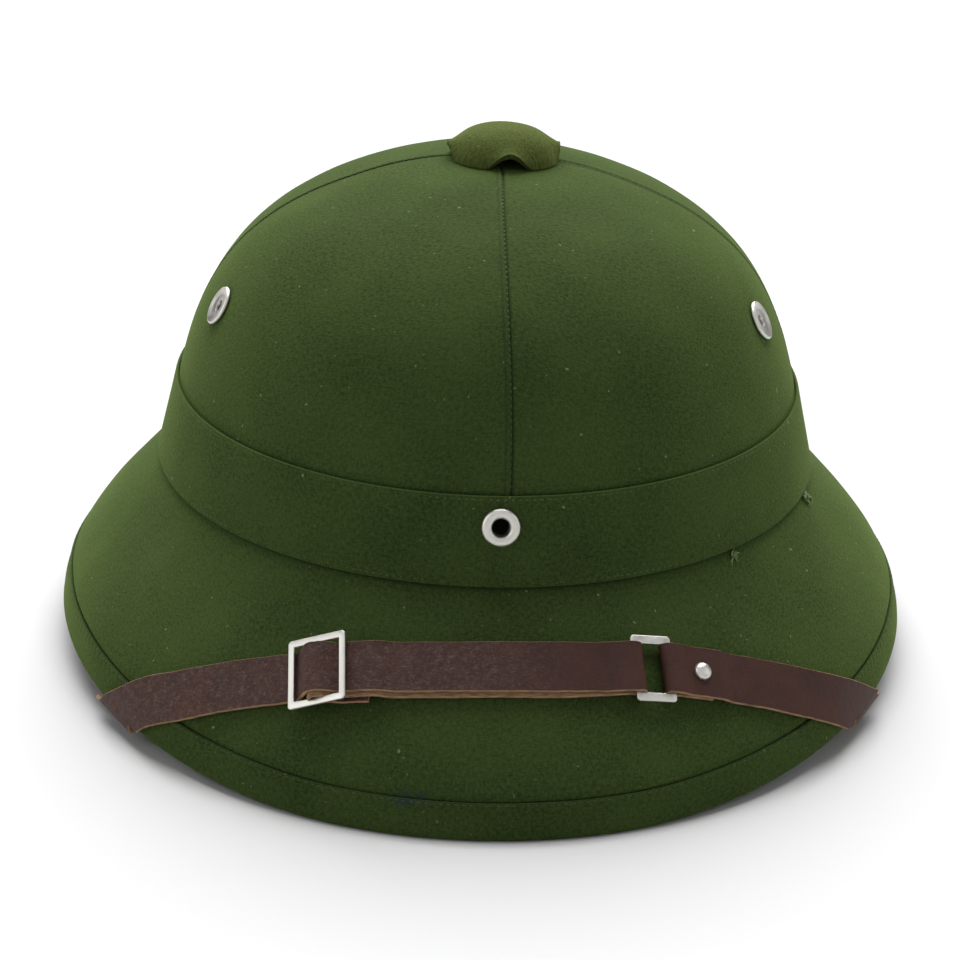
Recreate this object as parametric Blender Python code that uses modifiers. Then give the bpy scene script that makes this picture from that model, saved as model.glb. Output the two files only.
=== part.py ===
"""A sun helmet covered in green cloth, with a leather chin strap laid over the front of its brim.

Units are metres, +Z is up, the front faces -Y and +X is on the right of someone who looks at the front. The
helmet stands on the edge of its brim at Z = 0, and the origin is below the middle of the crown.
"""

import math

import bmesh
import bpy
import numpy as np
from mathutils import Matrix

# Overall sizes of the brim's edge, and how far it is lifted at the sides
HAT_WIDTH = 0.272
HAT_LENGTH = 0.329
SIDE_LIFT = 0.0095
FLAT_SHARE = 0.28
LIFT_POWER = 1.8

# The crown, measured at the lower edge of the band
CROWN_WIDTH = 0.2084
CROWN_LENGTH = 0.234
CROWN_TOP = 0.1544
BAND_FOOT = 0.057
BAND_HEIGHT = 0.0256
JOINT_RISE = 0.003

# Walls, cloths and leather
WALL = 0.0025
BAND_CLOTH = 0.001
BINDING_CLOTH = 0.0008
BINDING_OUTSIDE = 0.011
BINDING_INSIDE = 0.009
LEATHER = 0.0012
CLEARANCE = 0.0003

# The brim's section: how steeply it leaves the crown and how far its edge is rolled down
STEEP_START = 0.13
ROLLED_EDGE = 0.39

# The button on the crown
BUTTON_SHIFT = 0.003
BUTTON_RADIUS = 0.0177
BUTTON_RISE = 0.0091
BUTTON_WALL = 0.002
ARCH_RISE = 0.0042
ARCH_HALF_ANGLE = math.radians(25)
POST_RADIUS = 0.003
POST_FLANGE_RADIUS = 0.007
POST_FLANGE = 0.0012

# The metal eyelets
EYELET_SHIFT = 0.004
EYELET_HEIGHT = 0.0738
EYELET_RADIUS = 0.0056
EYELET_BORE = 0.0026
VENT_ANGLE = math.radians(71)
VENT_HEIGHT = 0.112
VENT_RADIUS = 0.0063
VENT_BORE = 0.0019
BARREL_WALL = 0.0006
RIM_ROLL = 0.0011

# The chin strap and its metal
STRAP_WIDTH = 0.0153
STRAP_LIFT = 0.0004
LAYER_GAP = 0.0002
LAYER_SLIP = 0.0009
BAR_WIDTH = 0.0017
BAR_THICKNESS = 0.001
FOLD_RADIUS = 0.00145
FOLD_SHIFT = 0.0005
SLIDE_LENGTH = 0.0173
SLIDE_HEIGHT = 0.0213
SLIDE_ANGLE = math.radians(-22.4)
RING_LENGTH = 0.0123
RING_HEIGHT = 0.0195
RING_ANGLE = math.radians(23.7)
TAIL_LENGTH = 0.015
FLAP_LENGTH = 0.0135
STUD_DISTANCE = 0.0098
STUD_RADIUS = 0.0027
STUD_RISE = 0.0018
STUD_SHANK = 0.001
ANCHOR_HEIGHT = 0.068
ANCHOR_ANGLE = math.radians(76)
ANCHOR_PIN = 0.0015
ANCHOR_HEAD = 0.004
ANCHOR_HEAD_THICKNESS = 0.001
STRAP_END = 0.006
STRAP_LANDING = 0.009
STRAP_BOW = 0.0065
EDGE_SLACK = 0.0006

# How finely round things are faceted
AROUND = 52
BUTTON_AROUND = 48
ROUND_SIDES = 16
STRAP_STEP = 0.004

# Crown profile: (share of the height over the band's lower edge, share of the width there)
CROWN_PROFILE = [
    (0.00, 1.000),
    (0.15, 0.967),
    (0.30, 0.936),
    (0.45, 0.894),
    (0.60, 0.825),
    (0.73, 0.724),
    (0.84, 0.582),
    (0.93, 0.389),
    (0.98, 0.215),
    (1.00, 0.000),
]

# Button profile: (share of the radius, share of the rise, share of the arches' rise)
BUTTON_PROFILE = [
    (0.00, 1.00, 0.00),
    (0.34, 0.95, 0.00),
    (0.62, 0.80, 0.00),
    (0.82, 0.56, 0.10),
    (0.95, 0.25, 0.50),
    (1.00, 0.00, 1.00),
]

# The strap's way over the brim: (degrees from the front, share of the way down the brim)
STRAP_ROUTE = [
    (-52.4, 1.000),
    (-47.4, 0.852),
    (-42.3, 0.754),
    (-35.0, 0.637),
    (-27.0, 0.546),
    (-18.1, 0.466),
    (-9.5, 0.430),
    (0.0, 0.413),
    (8.0, 0.415),
    (15.0, 0.428),
    (20.0, 0.446),
    (24.0, 0.467),
    (29.0, 0.502),
    (35.0, 0.563),
    (41.0, 0.641),
    (48.0, 0.757),
    (54.0, 0.882),
    (58.5, 1.000),
]

CLOTH_GREEN = (0.045, 0.085, 0.025, 1.0)
BUTTON_GREEN = (0.075, 0.11, 0.03, 1.0)
LEATHER_BROWN = (0.07, 0.028, 0.022, 1.0)
NICKEL = (0.72, 0.71, 0.69, 1.0)


def unit(vector):
    """The vector at length 1."""
    return vector / np.linalg.norm(vector, axis=-1, keepdims=True)


def smooth_rows(rows, steps=10):
    """A smooth curve through the rows of a table, with some steps between each row and the next."""
    rows = np.array(rows, dtype=float)
    ends = np.vstack([2 * rows[0] - rows[1], rows, 2 * rows[-1] - rows[-2]])
    curve = []
    for before, start, stop, after in zip(ends, ends[1:], ends[2:], ends[3:]):
        for share in np.arange(steps) / steps:
            bend = 2 * before - 5 * start + 4 * stop - after
            turn = -before + 3 * start - 3 * stop + after
            curve.append(start + 0.5 * share * (stop - before + share * (bend + share * turn)))
    curve.append(rows[-1])
    return np.array(curve)


CROWN_CURVE = np.array(CROWN_PROFILE)


def crown_share(height):
    """The crown's width at a height, as a share of its width at the lower edge of the band."""
    return np.interp((height - BAND_FOOT) / (CROWN_TOP - BAND_FOOT), CROWN_CURVE[:, 0], CROWN_CURVE[:, 1])


def crown_point(angle, height):
    """A point on the crown's outside, at an angle from the front towards +X."""
    share = crown_share(height) / 2
    return np.array([CROWN_WIDTH * share * math.sin(angle), -CROWN_LENGTH * share * math.cos(angle), height])


def crown_height(x, y):
    """The height of the crown's outside over a point of the floor."""
    share = math.hypot(2 * x / CROWN_WIDTH, 2 * y / CROWN_LENGTH)
    rise = np.interp(share, CROWN_CURVE[::-1, 1], CROWN_CURVE[::-1, 0])
    return BAND_FOOT + rise * (CROWN_TOP - BAND_FOOT)


def edge_point(angle):
    """A point on the brim's finished edge."""
    raised = max(0.0, (abs(math.sin(angle)) - FLAT_SHARE) / (1 - FLAT_SHARE))
    lift = SIDE_LIFT * raised**LIFT_POWER
    return np.array([HAT_WIDTH / 2 * math.sin(angle), -HAT_LENGTH / 2 * math.cos(angle), lift])


def brim_point(angle, share):
    """A point on the brim's outside, share 0 at the band's lower edge and 1 at the brim's edge."""
    foot = crown_point(angle, BAND_FOOT)
    edge = edge_point(angle)
    out = (edge - foot) * (1, 1, 0)
    drop = np.array([0, 0, foot[2] - edge[2]])
    below_foot = foot + STEEP_START * (out / 2 - drop)
    above_edge = edge + ROLLED_EDGE * drop
    rest = 1 - share
    return (
        rest**3 * foot
        + 3 * rest**2 * share * below_foot
        + 3 * rest * share**2 * above_edge
        + share**3 * edge
    )


def surface_normal(surface, angle, place, step):
    """The outward normal of a surface that is given by an angle and a second value."""
    along = surface(angle + 1e-3, place) - surface(angle - 1e-3, place)
    up = surface(angle, place - step) - surface(angle, place + step)
    normal = unit(np.cross(along, up))
    return normal if np.dot(normal[:2], surface(angle, place)[:2]) > 0 else -normal


def brim_normal(angle, share):
    """The outward normal of the brim, level at its edge."""
    return surface_normal(brim_point, angle, min(share, 0.999), 1e-3)


def crown_normal(angle, height):
    """The outward normal of the crown."""
    return surface_normal(crown_point, angle, height, -1e-4)


def share_above_edge(angle, distance):
    """The share of the brim that lies at a distance above its edge, along its outside."""
    shares = np.linspace(1, 0, 41)
    points = np.array([brim_point(angle, share) for share in shares])
    lengths = np.concatenate([[0], np.cumsum(np.linalg.norm(np.diff(points, axis=0), axis=1))])
    return float(np.interp(distance, lengths, shares))


def start_scene():
    """Empties the scene, and makes the collections for the parts and for the cutters."""
    for old in list(bpy.data.objects):
        bpy.data.objects.remove(old)
    parts = bpy.data.collections.new("pith_helmet")
    cutters = bpy.data.collections.new("cutters")
    for collection in (parts, cutters):
        bpy.context.scene.collection.children.link(collection)
    return parts, cutters


PARTS, CUTTERS = start_scene()


def material(name, colour, roughness, metallic=0.0):
    """A plain finish for one part."""
    made = bpy.data.materials.new(name)
    made.use_nodes = True
    shader = made.node_tree.nodes["Principled BSDF"]
    shader.inputs["Base Color"].default_value = colour
    shader.inputs["Roughness"].default_value = roughness
    shader.inputs["Metallic"].default_value = metallic
    return made


def add_part(name, data, finish, smooth=True):
    """Links a mesh or a curve as one named part."""
    part = bpy.data.objects.new(name, data)
    PARTS.objects.link(part)
    data.materials.append(material(name, *finish))
    if smooth and part.type == "MESH":
        data.shade_smooth()
        data.set_sharp_from_angle(angle=math.radians(35))
    return part


def loft(rows, ring=False):
    """A mesh through closed rows of points. A row whose points are all one closes an end like a pole, and a
    ring joins its last row to its first."""
    rows = np.array(rows)
    if ring:
        rows = np.concatenate([rows, rows[:1]])
    rows = np.concatenate([rows, rows[:, :1]], axis=1)
    shape = bmesh.new()
    bmesh.ops.create_grid(shape, x_segments=rows.shape[1] - 1, y_segments=rows.shape[0] - 1, size=1)
    shape.verts.ensure_lookup_table()
    for vertex, place in zip(shape.verts, rows.reshape(-1, 3)):
        vertex.co = place
    bmesh.ops.remove_doubles(shape, verts=shape.verts, dist=1e-6)
    bmesh.ops.recalc_face_normals(shape, faces=shape.faces)
    mesh = bpy.data.meshes.new("loft")
    shape.to_mesh(mesh)
    shape.free()
    return mesh


def profile_mesh(points, closed):
    """A profile in the XZ plane for a Screw modifier."""
    mesh = bpy.data.meshes.new("profile")
    edges = [(index, index + 1) for index in range(len(points) - 1)]
    if closed:
        edges.append((len(points) - 1, 0))
    mesh.from_pydata([(x, 0, z) for x, z in points], edges, [])
    return mesh


def screw(part, sides):
    """Turns a profile round the part's own Z axis."""
    turn = part.modifiers.new("turn", "SCREW")
    turn.steps = sides
    turn.render_steps = sides
    turn.use_merge_vertices = True
    turn.merge_threshold = 1e-5


def evaluated_mesh(part):
    """The part's mesh with its modifiers applied."""
    bpy.context.view_layer.update()
    graph = bpy.context.evaluated_depsgraph_get()
    return bpy.data.meshes.new_from_object(part.evaluated_get(graph))


def place(part, origin, axis, along=(0, 0, 1)):
    """Moves a part to an origin, with its Z along the axis and its X as near as can be to a direction."""
    z_axis = unit(np.array(axis, dtype=float))
    x_axis = np.array(along, dtype=float)
    x_axis = unit(x_axis - z_axis * np.dot(x_axis, z_axis))
    turn = np.eye(4)
    turn[:3, 0] = x_axis
    turn[:3, 1] = np.cross(z_axis, x_axis)
    turn[:3, 2] = z_axis
    turn[:3, 3] = origin
    part.matrix_world = Matrix(turn)


def drill(name, target, radius, origin, axis, length):
    """Cuts a round hole through a part, centred on the origin."""
    shape = bmesh.new()
    bmesh.ops.create_cone(
        shape, cap_ends=True, segments=ROUND_SIDES, radius1=radius, radius2=radius, depth=length
    )
    mesh = bpy.data.meshes.new(name)
    shape.to_mesh(mesh)
    shape.free()
    cutter = bpy.data.objects.new(name, mesh)
    CUTTERS.objects.link(cutter)
    cutter.hide_render = True
    cutter.display_type = "WIRE"
    side = (0, 1, 0) if abs(unit(np.array(axis, dtype=float))[2]) > 0.9 else (0, 0, 1)
    place(cutter, origin, axis, side)
    hole = target.modifiers.new(name, "BOOLEAN")
    hole.operation = "DIFFERENCE"
    hole.solver = "EXACT"
    hole.object = cutter


def angles():
    """The angles of the facets round the hat, which start at the front."""
    return [2 * math.pi * step / AROUND for step in range(AROUND)]


def make_crown():
    """The dome: its profile is turned, drawn out to an oval and given its wall."""
    profile = []
    for share, width in CROWN_PROFILE[::-1]:
        profile.append((width * CROWN_WIDTH / 2, BAND_FOOT + share * (CROWN_TOP - BAND_FOOT)))
    joint = BAND_FOOT + JOINT_RISE
    profile[-1] = (crown_share(joint) * CROWN_WIDTH / 2, joint)
    guide = bpy.data.objects.new("crown_guide", profile_mesh(profile, False))
    CUTTERS.objects.link(guide)
    screw(guide, AROUND)
    mesh = evaluated_mesh(guide)
    bpy.data.objects.remove(guide)
    for vertex in mesh.vertices:
        vertex.co.y *= CROWN_LENGTH / CROWN_WIDTH
    crown = add_part("crown", mesh, (CLOTH_GREEN, 0.9))
    wall = crown.modifiers.new("wall", "SOLIDIFY")
    wall.thickness = WALL
    wall.offset = -1
    wall.use_even_offset = True
    return crown


def rebate(distance):
    """How far the brim's outside is let in below the binding, so that the binding lies flush."""
    slope = 0.002
    share = (BINDING_OUTSIDE + slope + CLEARANCE - distance) / slope
    return (BINDING_CLOTH + CLEARANCE) * min(1.0, max(0.0, share))


def make_brim():
    """The flared ring below the crown, let in at its edge for the binding."""
    joint = BAND_FOOT + JOINT_RISE - CLEARANCE
    edge_rise = BINDING_CLOTH + CLEARANCE
    distances = [BINDING_OUTSIDE + 0.0025, BINDING_OUTSIDE + CLEARANCE, 0.006, edge_rise]
    outside = []
    inside = []
    outside.append([crown_point(angle, joint) for angle in angles()])
    inside.append([crown_point(angle, joint) - WALL * crown_normal(angle, joint) for angle in angles()])
    for share in (0.0, 0.14, 0.28, 0.42, 0.56):
        outside.append([brim_point(angle, share) for angle in angles()])
        inside.append([brim_point(angle, share) - WALL * brim_normal(angle, share) for angle in angles()])
    for distance in distances:
        outer_row = []
        inner_row = []
        for angle in angles():
            share = share_above_edge(angle, distance)
            point = brim_point(angle, share)
            normal = brim_normal(angle, share)
            outer_row.append(point - rebate(distance) * normal)
            inner_row.append(point - WALL * normal)
        outside.append(outer_row)
        inside.append(inner_row)
    return add_part("brim", loft(outside + inside[::-1], ring=True), (CLOTH_GREEN, 0.9))


def make_hat_band():
    """The cloth band round the foot of the crown, which covers the joint."""
    outside = []
    inside = []
    for share in (1.0, 0.5, 0.0):
        height = BAND_FOOT + share * BAND_HEIGHT
        points = [(crown_point(angle, height), crown_normal(angle, height)) for angle in angles()]
        outside.append([point + (CLEARANCE + BAND_CLOTH) * normal for point, normal in points])
        inside.append([point + CLEARANCE * normal for point, normal in points])
    return add_part("hat_band", loft(outside + inside[::-1], ring=True), (CLOTH_GREEN, 0.9))


def make_binding():
    """The cloth strip folded over the brim's edge. Its fold is level below, and the hat stands on it."""
    outer = CLEARANCE + BINDING_CLOTH
    corner = 0.7 * BINDING_CLOTH
    sections = []
    for angle in angles():
        edge = edge_point(angle)
        out = brim_normal(angle, 1.0) * (1, 1, 0)
        up = np.array([0, 0, 1.0])
        skin = []
        lining = []
        for distance in (BINDING_OUTSIDE, 0.0075, 0.004):
            share = share_above_edge(angle, distance)
            point = brim_point(angle, share)
            normal = brim_normal(angle, share)
            skin.append(point)
            lining.append(point - BINDING_CLOTH * normal)
        skin += [edge + up * corner, edge - out * corner]
        lining.append(edge - out * BINDING_CLOTH + up * BINDING_CLOTH)
        back = WALL + outer
        skin += [edge - out * (back - corner), edge - out * back + up * corner]
        lining.append(edge - out * (back - BINDING_CLOTH) + up * BINDING_CLOTH)
        for distance in (0.005, BINDING_INSIDE):
            share = share_above_edge(angle, distance)
            point = brim_point(angle, share)
            normal = brim_normal(angle, share)
            skin.append(point - (WALL + outer) * normal)
            lining.append(point - (WALL + CLEARANCE) * normal)
        sections.append(skin + lining[::-1])
    return add_part("brim_binding", loft(sections, ring=True), (CLOTH_GREEN, 0.9))


def arch(angle):
    """1 over the middle of an arch of the button and 0 beside it. An arch lies over each of the four seams."""
    off_seam = abs((angle + math.pi / 4) % (math.pi / 2) - math.pi / 4)
    if off_seam > ARCH_HALF_ANGLE:
        return 0.0
    return 0.5 + 0.5 * math.cos(math.pi * off_seam / ARCH_HALF_ANGLE)


def button_row(radius_share, rise_share, arch_share, inset):
    """One ring of the button, on the crown's outside or inset from the button's own outside."""
    row = []
    radius = BUTTON_RADIUS * radius_share - inset
    for step in range(BUTTON_AROUND):
        angle = 2 * math.pi * step / BUTTON_AROUND
        x = BUTTON_SHIFT + max(radius, 0.0) * math.sin(angle)
        y = -max(radius, 0.0) * math.cos(angle)
        seat = crown_height(x, y) + CLEARANCE
        top = CROWN_TOP + CLEARANCE + BUTTON_RISE
        height = seat + rise_share * (top - seat) + ARCH_RISE * arch_share * arch(angle)
        row.append((x, y, height))
    return np.array(row)


def make_top_button():
    """The cloth-covered cap, hollow below, with an arch in its hem over each seam."""
    rows = [button_row(*shares, 0.0) for shares in BUTTON_PROFILE]
    inner_top = 1 - BUTTON_WALL / BUTTON_RISE
    for radius, rise, arches in BUTTON_PROFILE[::-1]:
        inset = BUTTON_WALL if radius > 0.3 else 0.0
        rows.append(button_row(radius, rise * inner_top, arches, inset))
    return add_part("top_button", loft(rows), (BUTTON_GREEN, 0.9))


def make_button_post():
    """The hidden pin that holds the button, with its flange inside the crown."""
    under = crown_height(BUTTON_SHIFT + POST_FLANGE_RADIUS, 0) - WALL - 2 * CLEARANCE
    top = CROWN_TOP + 0.9 * (BUTTON_RISE - BUTTON_WALL)
    profile = [
        (0, top),
        (POST_RADIUS, top),
        (POST_RADIUS, under),
        (POST_FLANGE_RADIUS, under),
        (POST_FLANGE_RADIUS, under - POST_FLANGE),
        (0, under - POST_FLANGE),
    ]
    post = add_part("button_post", profile_mesh(profile, False), (NICKEL, 0.4, 1.0), smooth=False)
    screw(post, ROUND_SIDES)
    post.location = (BUTTON_SHIFT, 0, 0)
    return post


def make_eyelet(name, origin, axis, radius, bore, wall, seat):
    """A metal eyelet with a rolled rim outside and a turned-out flange inside, round one bore.

    The seat is the clearance below the rim and over the flange, which grows on a curved wall."""
    barrel = bore + BARREL_WALL
    flange = radius - RIM_ROLL
    profile = [
        (bore, RIM_ROLL * 0.45 + seat),
        (bore + RIM_ROLL * 0.35, RIM_ROLL * 0.85 + seat),
        (0.5 * (bore + radius), RIM_ROLL + seat),
        (radius - RIM_ROLL * 0.3, RIM_ROLL * 0.75 + seat),
        (radius, RIM_ROLL * 0.3 + seat),
        (radius - RIM_ROLL * 0.3, seat),
        (barrel, seat),
        (barrel, -wall - seat),
        (flange, -wall - seat),
        (flange, -wall - seat - BARREL_WALL),
        (bore, -wall - seat - BARREL_WALL),
    ]
    eyelet = add_part(name, profile_mesh(profile, True), (NICKEL, 0.3, 1.0))
    screw(eyelet, ROUND_SIDES)
    place(eyelet, origin, axis)
    return eyelet


def seat_on(radius):
    """The clearance that a flat face of a radius needs on the crown's faceted round wall."""
    return CLEARANCE + radius * math.sin(math.pi / AROUND) + radius**2 / CROWN_WIDTH


def make_eyelets(crown, band):
    """The eyelet at the front of the band and the two vents in the sides of the crown."""
    hole_clearance = BARREL_WALL + CLEARANCE
    angle = math.asin(EYELET_SHIFT / (crown_share(EYELET_HEIGHT) * CROWN_WIDTH / 2))
    axis = crown_normal(angle, EYELET_HEIGHT)
    cloth = CLEARANCE + BAND_CLOTH
    origin = crown_point(angle, EYELET_HEIGHT) + cloth * axis
    seat = seat_on(EYELET_RADIUS)
    make_eyelet("front_eyelet", origin, axis, EYELET_RADIUS, EYELET_BORE, WALL + cloth, seat)
    for target in (crown, band):
        hole = target.name + "_eyelet_hole"
        drill(hole, target, EYELET_BORE + hole_clearance, origin, axis, 6 * WALL)
    for name, side in (("vent_left", -1), ("vent_right", 1)):
        origin = crown_point(side * VENT_ANGLE, VENT_HEIGHT)
        axis = crown_normal(side * VENT_ANGLE, VENT_HEIGHT)
        seat = seat_on(VENT_RADIUS)
        make_eyelet(name, origin, axis, VENT_RADIUS, VENT_BORE, WALL, seat)
        drill(name + "_hole", crown, VENT_BORE + hole_clearance, origin, axis, 6 * WALL)


class StrapRoute:
    """The line on the brim that the strap follows, measured along the brim's outside."""

    def __init__(self):
        self.rows = smooth_rows(STRAP_ROUTE, 12)
        self.angles = np.radians(self.rows[:, 0])
        self.points = np.array([brim_point(a, s) for a, s in zip(self.angles, self.rows[:, 1])])
        steps = np.linalg.norm(np.diff(self.points, axis=0), axis=1)
        self.lengths = np.concatenate([[0], np.cumsum(steps)])
        self.end = self.lengths[-1]

    def at_angle(self, angle):
        """How far along the route an angle is."""
        return float(np.interp(angle, self.angles, self.lengths))

    def frame(self, along):
        """The place, the direction of travel, the outward normal and the direction up the brim."""
        angle = float(np.interp(along, self.lengths, self.angles))
        share = float(np.interp(along, self.lengths, self.rows[:, 1]))
        before = self.point(along - 0.002)
        travel = unit(self.point(along + 0.002) - before)
        normal = brim_normal(angle, share)
        normal = unit(normal - travel * np.dot(normal, travel))
        return brim_point(angle, share), travel, normal, np.cross(normal, travel)

    def point(self, along):
        """The place on the brim's outside at a distance along the route."""
        along = min(max(along, 0.0), self.end)
        return np.array([np.interp(along, self.lengths, self.points[:, axis]) for axis in range(3)])


ROUTE = StrapRoute()
LEVEL = STRAP_LIFT + LEATHER / 2
LAYER = LEATHER + LAYER_GAP
BAR_LEVEL = LEVEL + FOLD_RADIUS
SLIDE = ROUTE.at_angle(SLIDE_ANGLE)
SLIDE_BAR = (SLIDE_LENGTH - BAR_WIDTH) / 2
RING = ROUTE.at_angle(RING_ANGLE)
RING_BAR = (RING_LENGTH - BAR_WIDTH) / 2
UNDER_BAR = LEATHER / 2 + 2 * CLEARANCE + BAR_THICKNESS / 2
SLIDE_LEFT_LEVEL = LEVEL + UNDER_BAR
SLIDE_RIGHT_LEVEL = LEVEL + 2 * LAYER + UNDER_BAR
SLIDE_LEVEL = (SLIDE_LEFT_LEVEL + SLIDE_RIGHT_LEVEL) / 2


EDGE_STEPS = (0.003, 0.006, 0.009)
STRAP_START = 0.012


def ease(start, stop, steps=7):
    """Steps of a soft slope from one (distance along, height over the brim) to another."""
    shares = np.linspace(0, 1, steps)
    soft = 0.5 * shares + 0.5 * shares**2 * (3 - 2 * shares)
    along = start[0] + (stop[0] - start[0]) * shares
    over = start[1] + (stop[1] - start[1]) * soft
    return [(float(x), float(y)) for x, y in zip(along, over)]


def fold(centre, over, side, upward, steps=7):
    """A half turn round a bar. Side is 1 where the leather passes on the far side of the bar along the route."""
    centre += side * FOLD_SHIFT
    turn = np.linspace(-math.pi / 2, math.pi / 2, steps)
    if not upward:
        turn = turn[::-1]
    return [
        (centre + side * FOLD_RADIUS * math.cos(angle), over + FOLD_RADIUS * math.sin(angle))
        for angle in turn
    ]


def over_bar(foot, centre, radius, steps=5):
    """From a foot beside a bar straight up to a circle round the bar, and on to the circle's top."""
    reach = math.hypot(centre[0] - foot[0], centre[1] - foot[1])
    slope = math.atan2(centre[1] - foot[1], abs(centre[0] - foot[0])) + math.asin(radius / reach)
    side = 1 if foot[0] > centre[0] else -1
    path = [foot]
    for angle in np.linspace(slope, 0, steps):
        path.append((centre[0] + side * radius * math.sin(angle), centre[1] + radius * math.cos(angle)))
    return path


def run(start, stop):
    """Even steps along a stretch at one height."""
    count = max(2, round(abs(stop[0] - start[0]) / STRAP_STEP))
    return [tuple(row) for row in np.linspace(start, stop, count + 1)]


def offset_path(path, distance):
    """The path moved sideways, to the left of its direction."""
    path = np.array(path)
    direction = unit(np.gradient(path, axis=0))
    return [tuple(row) for row in path + distance * np.stack([-direction[:, 1], direction[:, 0]], axis=1)]


def route_sections(path, slip):
    """Sections of a strap over the brim: centre, half of the line across it, and normal."""
    sections = []
    path = np.array(path)
    centres = []
    for (along, over), shift in zip(path, slip):
        point, _, normal, up = ROUTE.frame(along)
        centres.append((point + over * normal + shift * up, up))
    places = np.array([centre for centre, _ in centres])
    travel = unit(np.gradient(places, axis=0))
    for place_, direction, (_, up) in zip(places, travel, centres):
        across = unit(up - direction * np.dot(up, direction))
        sections.append((place_, across * STRAP_WIDTH / 2, unit(np.cross(across, direction))))
    return sections


def anchor_place(side):
    """The place of an anchor on the crown's outside, below the band, and the wall's normal there."""
    angle = side * ANCHOR_ANGLE
    return crown_point(angle, ANCHOR_HEIGHT), crown_normal(angle, ANCHOR_HEIGHT)


def wrap_sections(side):
    """Sections from the brim's edge round and below it, and on to the anchor inside the crown.

    The strap crosses the edge at a slant, so the line across it turns to run along the edge."""
    start = ROUTE.angles[0] if side < 0 else ROUTE.angles[-1]
    drift = side * math.radians(0.4)
    half = LEATHER / 2 + CLEARANCE
    depth = WALL + CLEARANCE + BINDING_CLOTH + EDGE_SLACK
    around = [
        (half, 0.0015),
        (half, 0.0),
        (0.6 * half, -0.7 * half),
        (0.0, -half),
        (-depth, -half),
        (-depth - 0.6 * half, -0.7 * half),
        (-depth - half, 0.0),
        (-depth - half, 0.002),
    ]
    places = []
    lines = []
    for step, (out_by, up_by) in enumerate(around):
        angle = start + drift * step
        out = brim_normal(angle, 1.0) * (1, 1, 0)
        places.append(edge_point(angle) + out_by * out + (0, 0, up_by))
        lines.append(unit(edge_point(angle - 0.03) - edge_point(angle + 0.03)) * -side)
    below = places[-1]
    first_line = lines[-1]
    wall, axis = anchor_place(side)
    seat = wall - (WALL + seat_on(STRAP_WIDTH / 2) + LEATHER / 2) * axis
    reach = unit(seat - below - axis * np.dot(seat - below, axis))
    end_line = np.cross(axis, reach)
    if np.dot(end_line, first_line) < 0:
        end_line = -end_line
    landing = seat - STRAP_LANDING * reach
    for share in np.linspace(0, 1, 9)[1:]:
        places.append(below + share * (landing - below) - STRAP_BOW * math.sin(math.pi * share) * axis)
        lines.append(unit(first_line + share * (end_line - first_line)))
    for distance in (0.0, STRAP_END):
        places.append(seat + distance * reach)
        lines.append(end_line)
    return places, lines


def slanted_sections(places, lines, travel_first):
    """Turns places and the lines across them into sections as wide as the strap."""
    places = np.array(places)
    travel = unit(np.gradient(places, axis=0))
    travel[0] = travel_first
    sections = []
    for place_, line, direction in zip(places, lines, travel):
        normal = np.cross(line, direction)
        slant = np.linalg.norm(normal)
        reach = STRAP_WIDTH / 2 / max(slant, 0.6)
        sections.append((place_, line * reach, unit(normal)))
    return sections


def strap_mesh(sections):
    """A strap of the leather's thickness through its sections, closed at both ends."""
    rows = []
    for centre, half_line, normal in sections:
        lift = normal * LEATHER / 2
        rows.append([centre + half_line + lift, centre - half_line + lift])
        rows[-1] += [centre - half_line - lift, centre + half_line - lift]
    first = [sections[0][0]] * 4
    last = [sections[-1][0]] * 4
    return loft([first] + rows + [last])


def turn_lines(sections, line, count, at_end):
    """Turns the lines across the last or first sections little by little to a slanted one."""
    order = sections[-count:] if at_end else sections[:count][::-1]
    turned = []
    for step, (centre, half_line, normal) in enumerate(order):
        share = (step + 1) / (count + 1)
        across = unit(half_line)
        mixed = unit(across + share * (line - across))
        mixed = unit(mixed - normal * np.dot(mixed, normal))
        slant = max(abs(np.dot(mixed, across)), 0.6)
        turned.append((centre, mixed * STRAP_WIDTH / 2 / slant, normal))
    if at_end:
        return sections[:-count] + turned
    return turned[::-1] + sections[count:]


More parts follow.
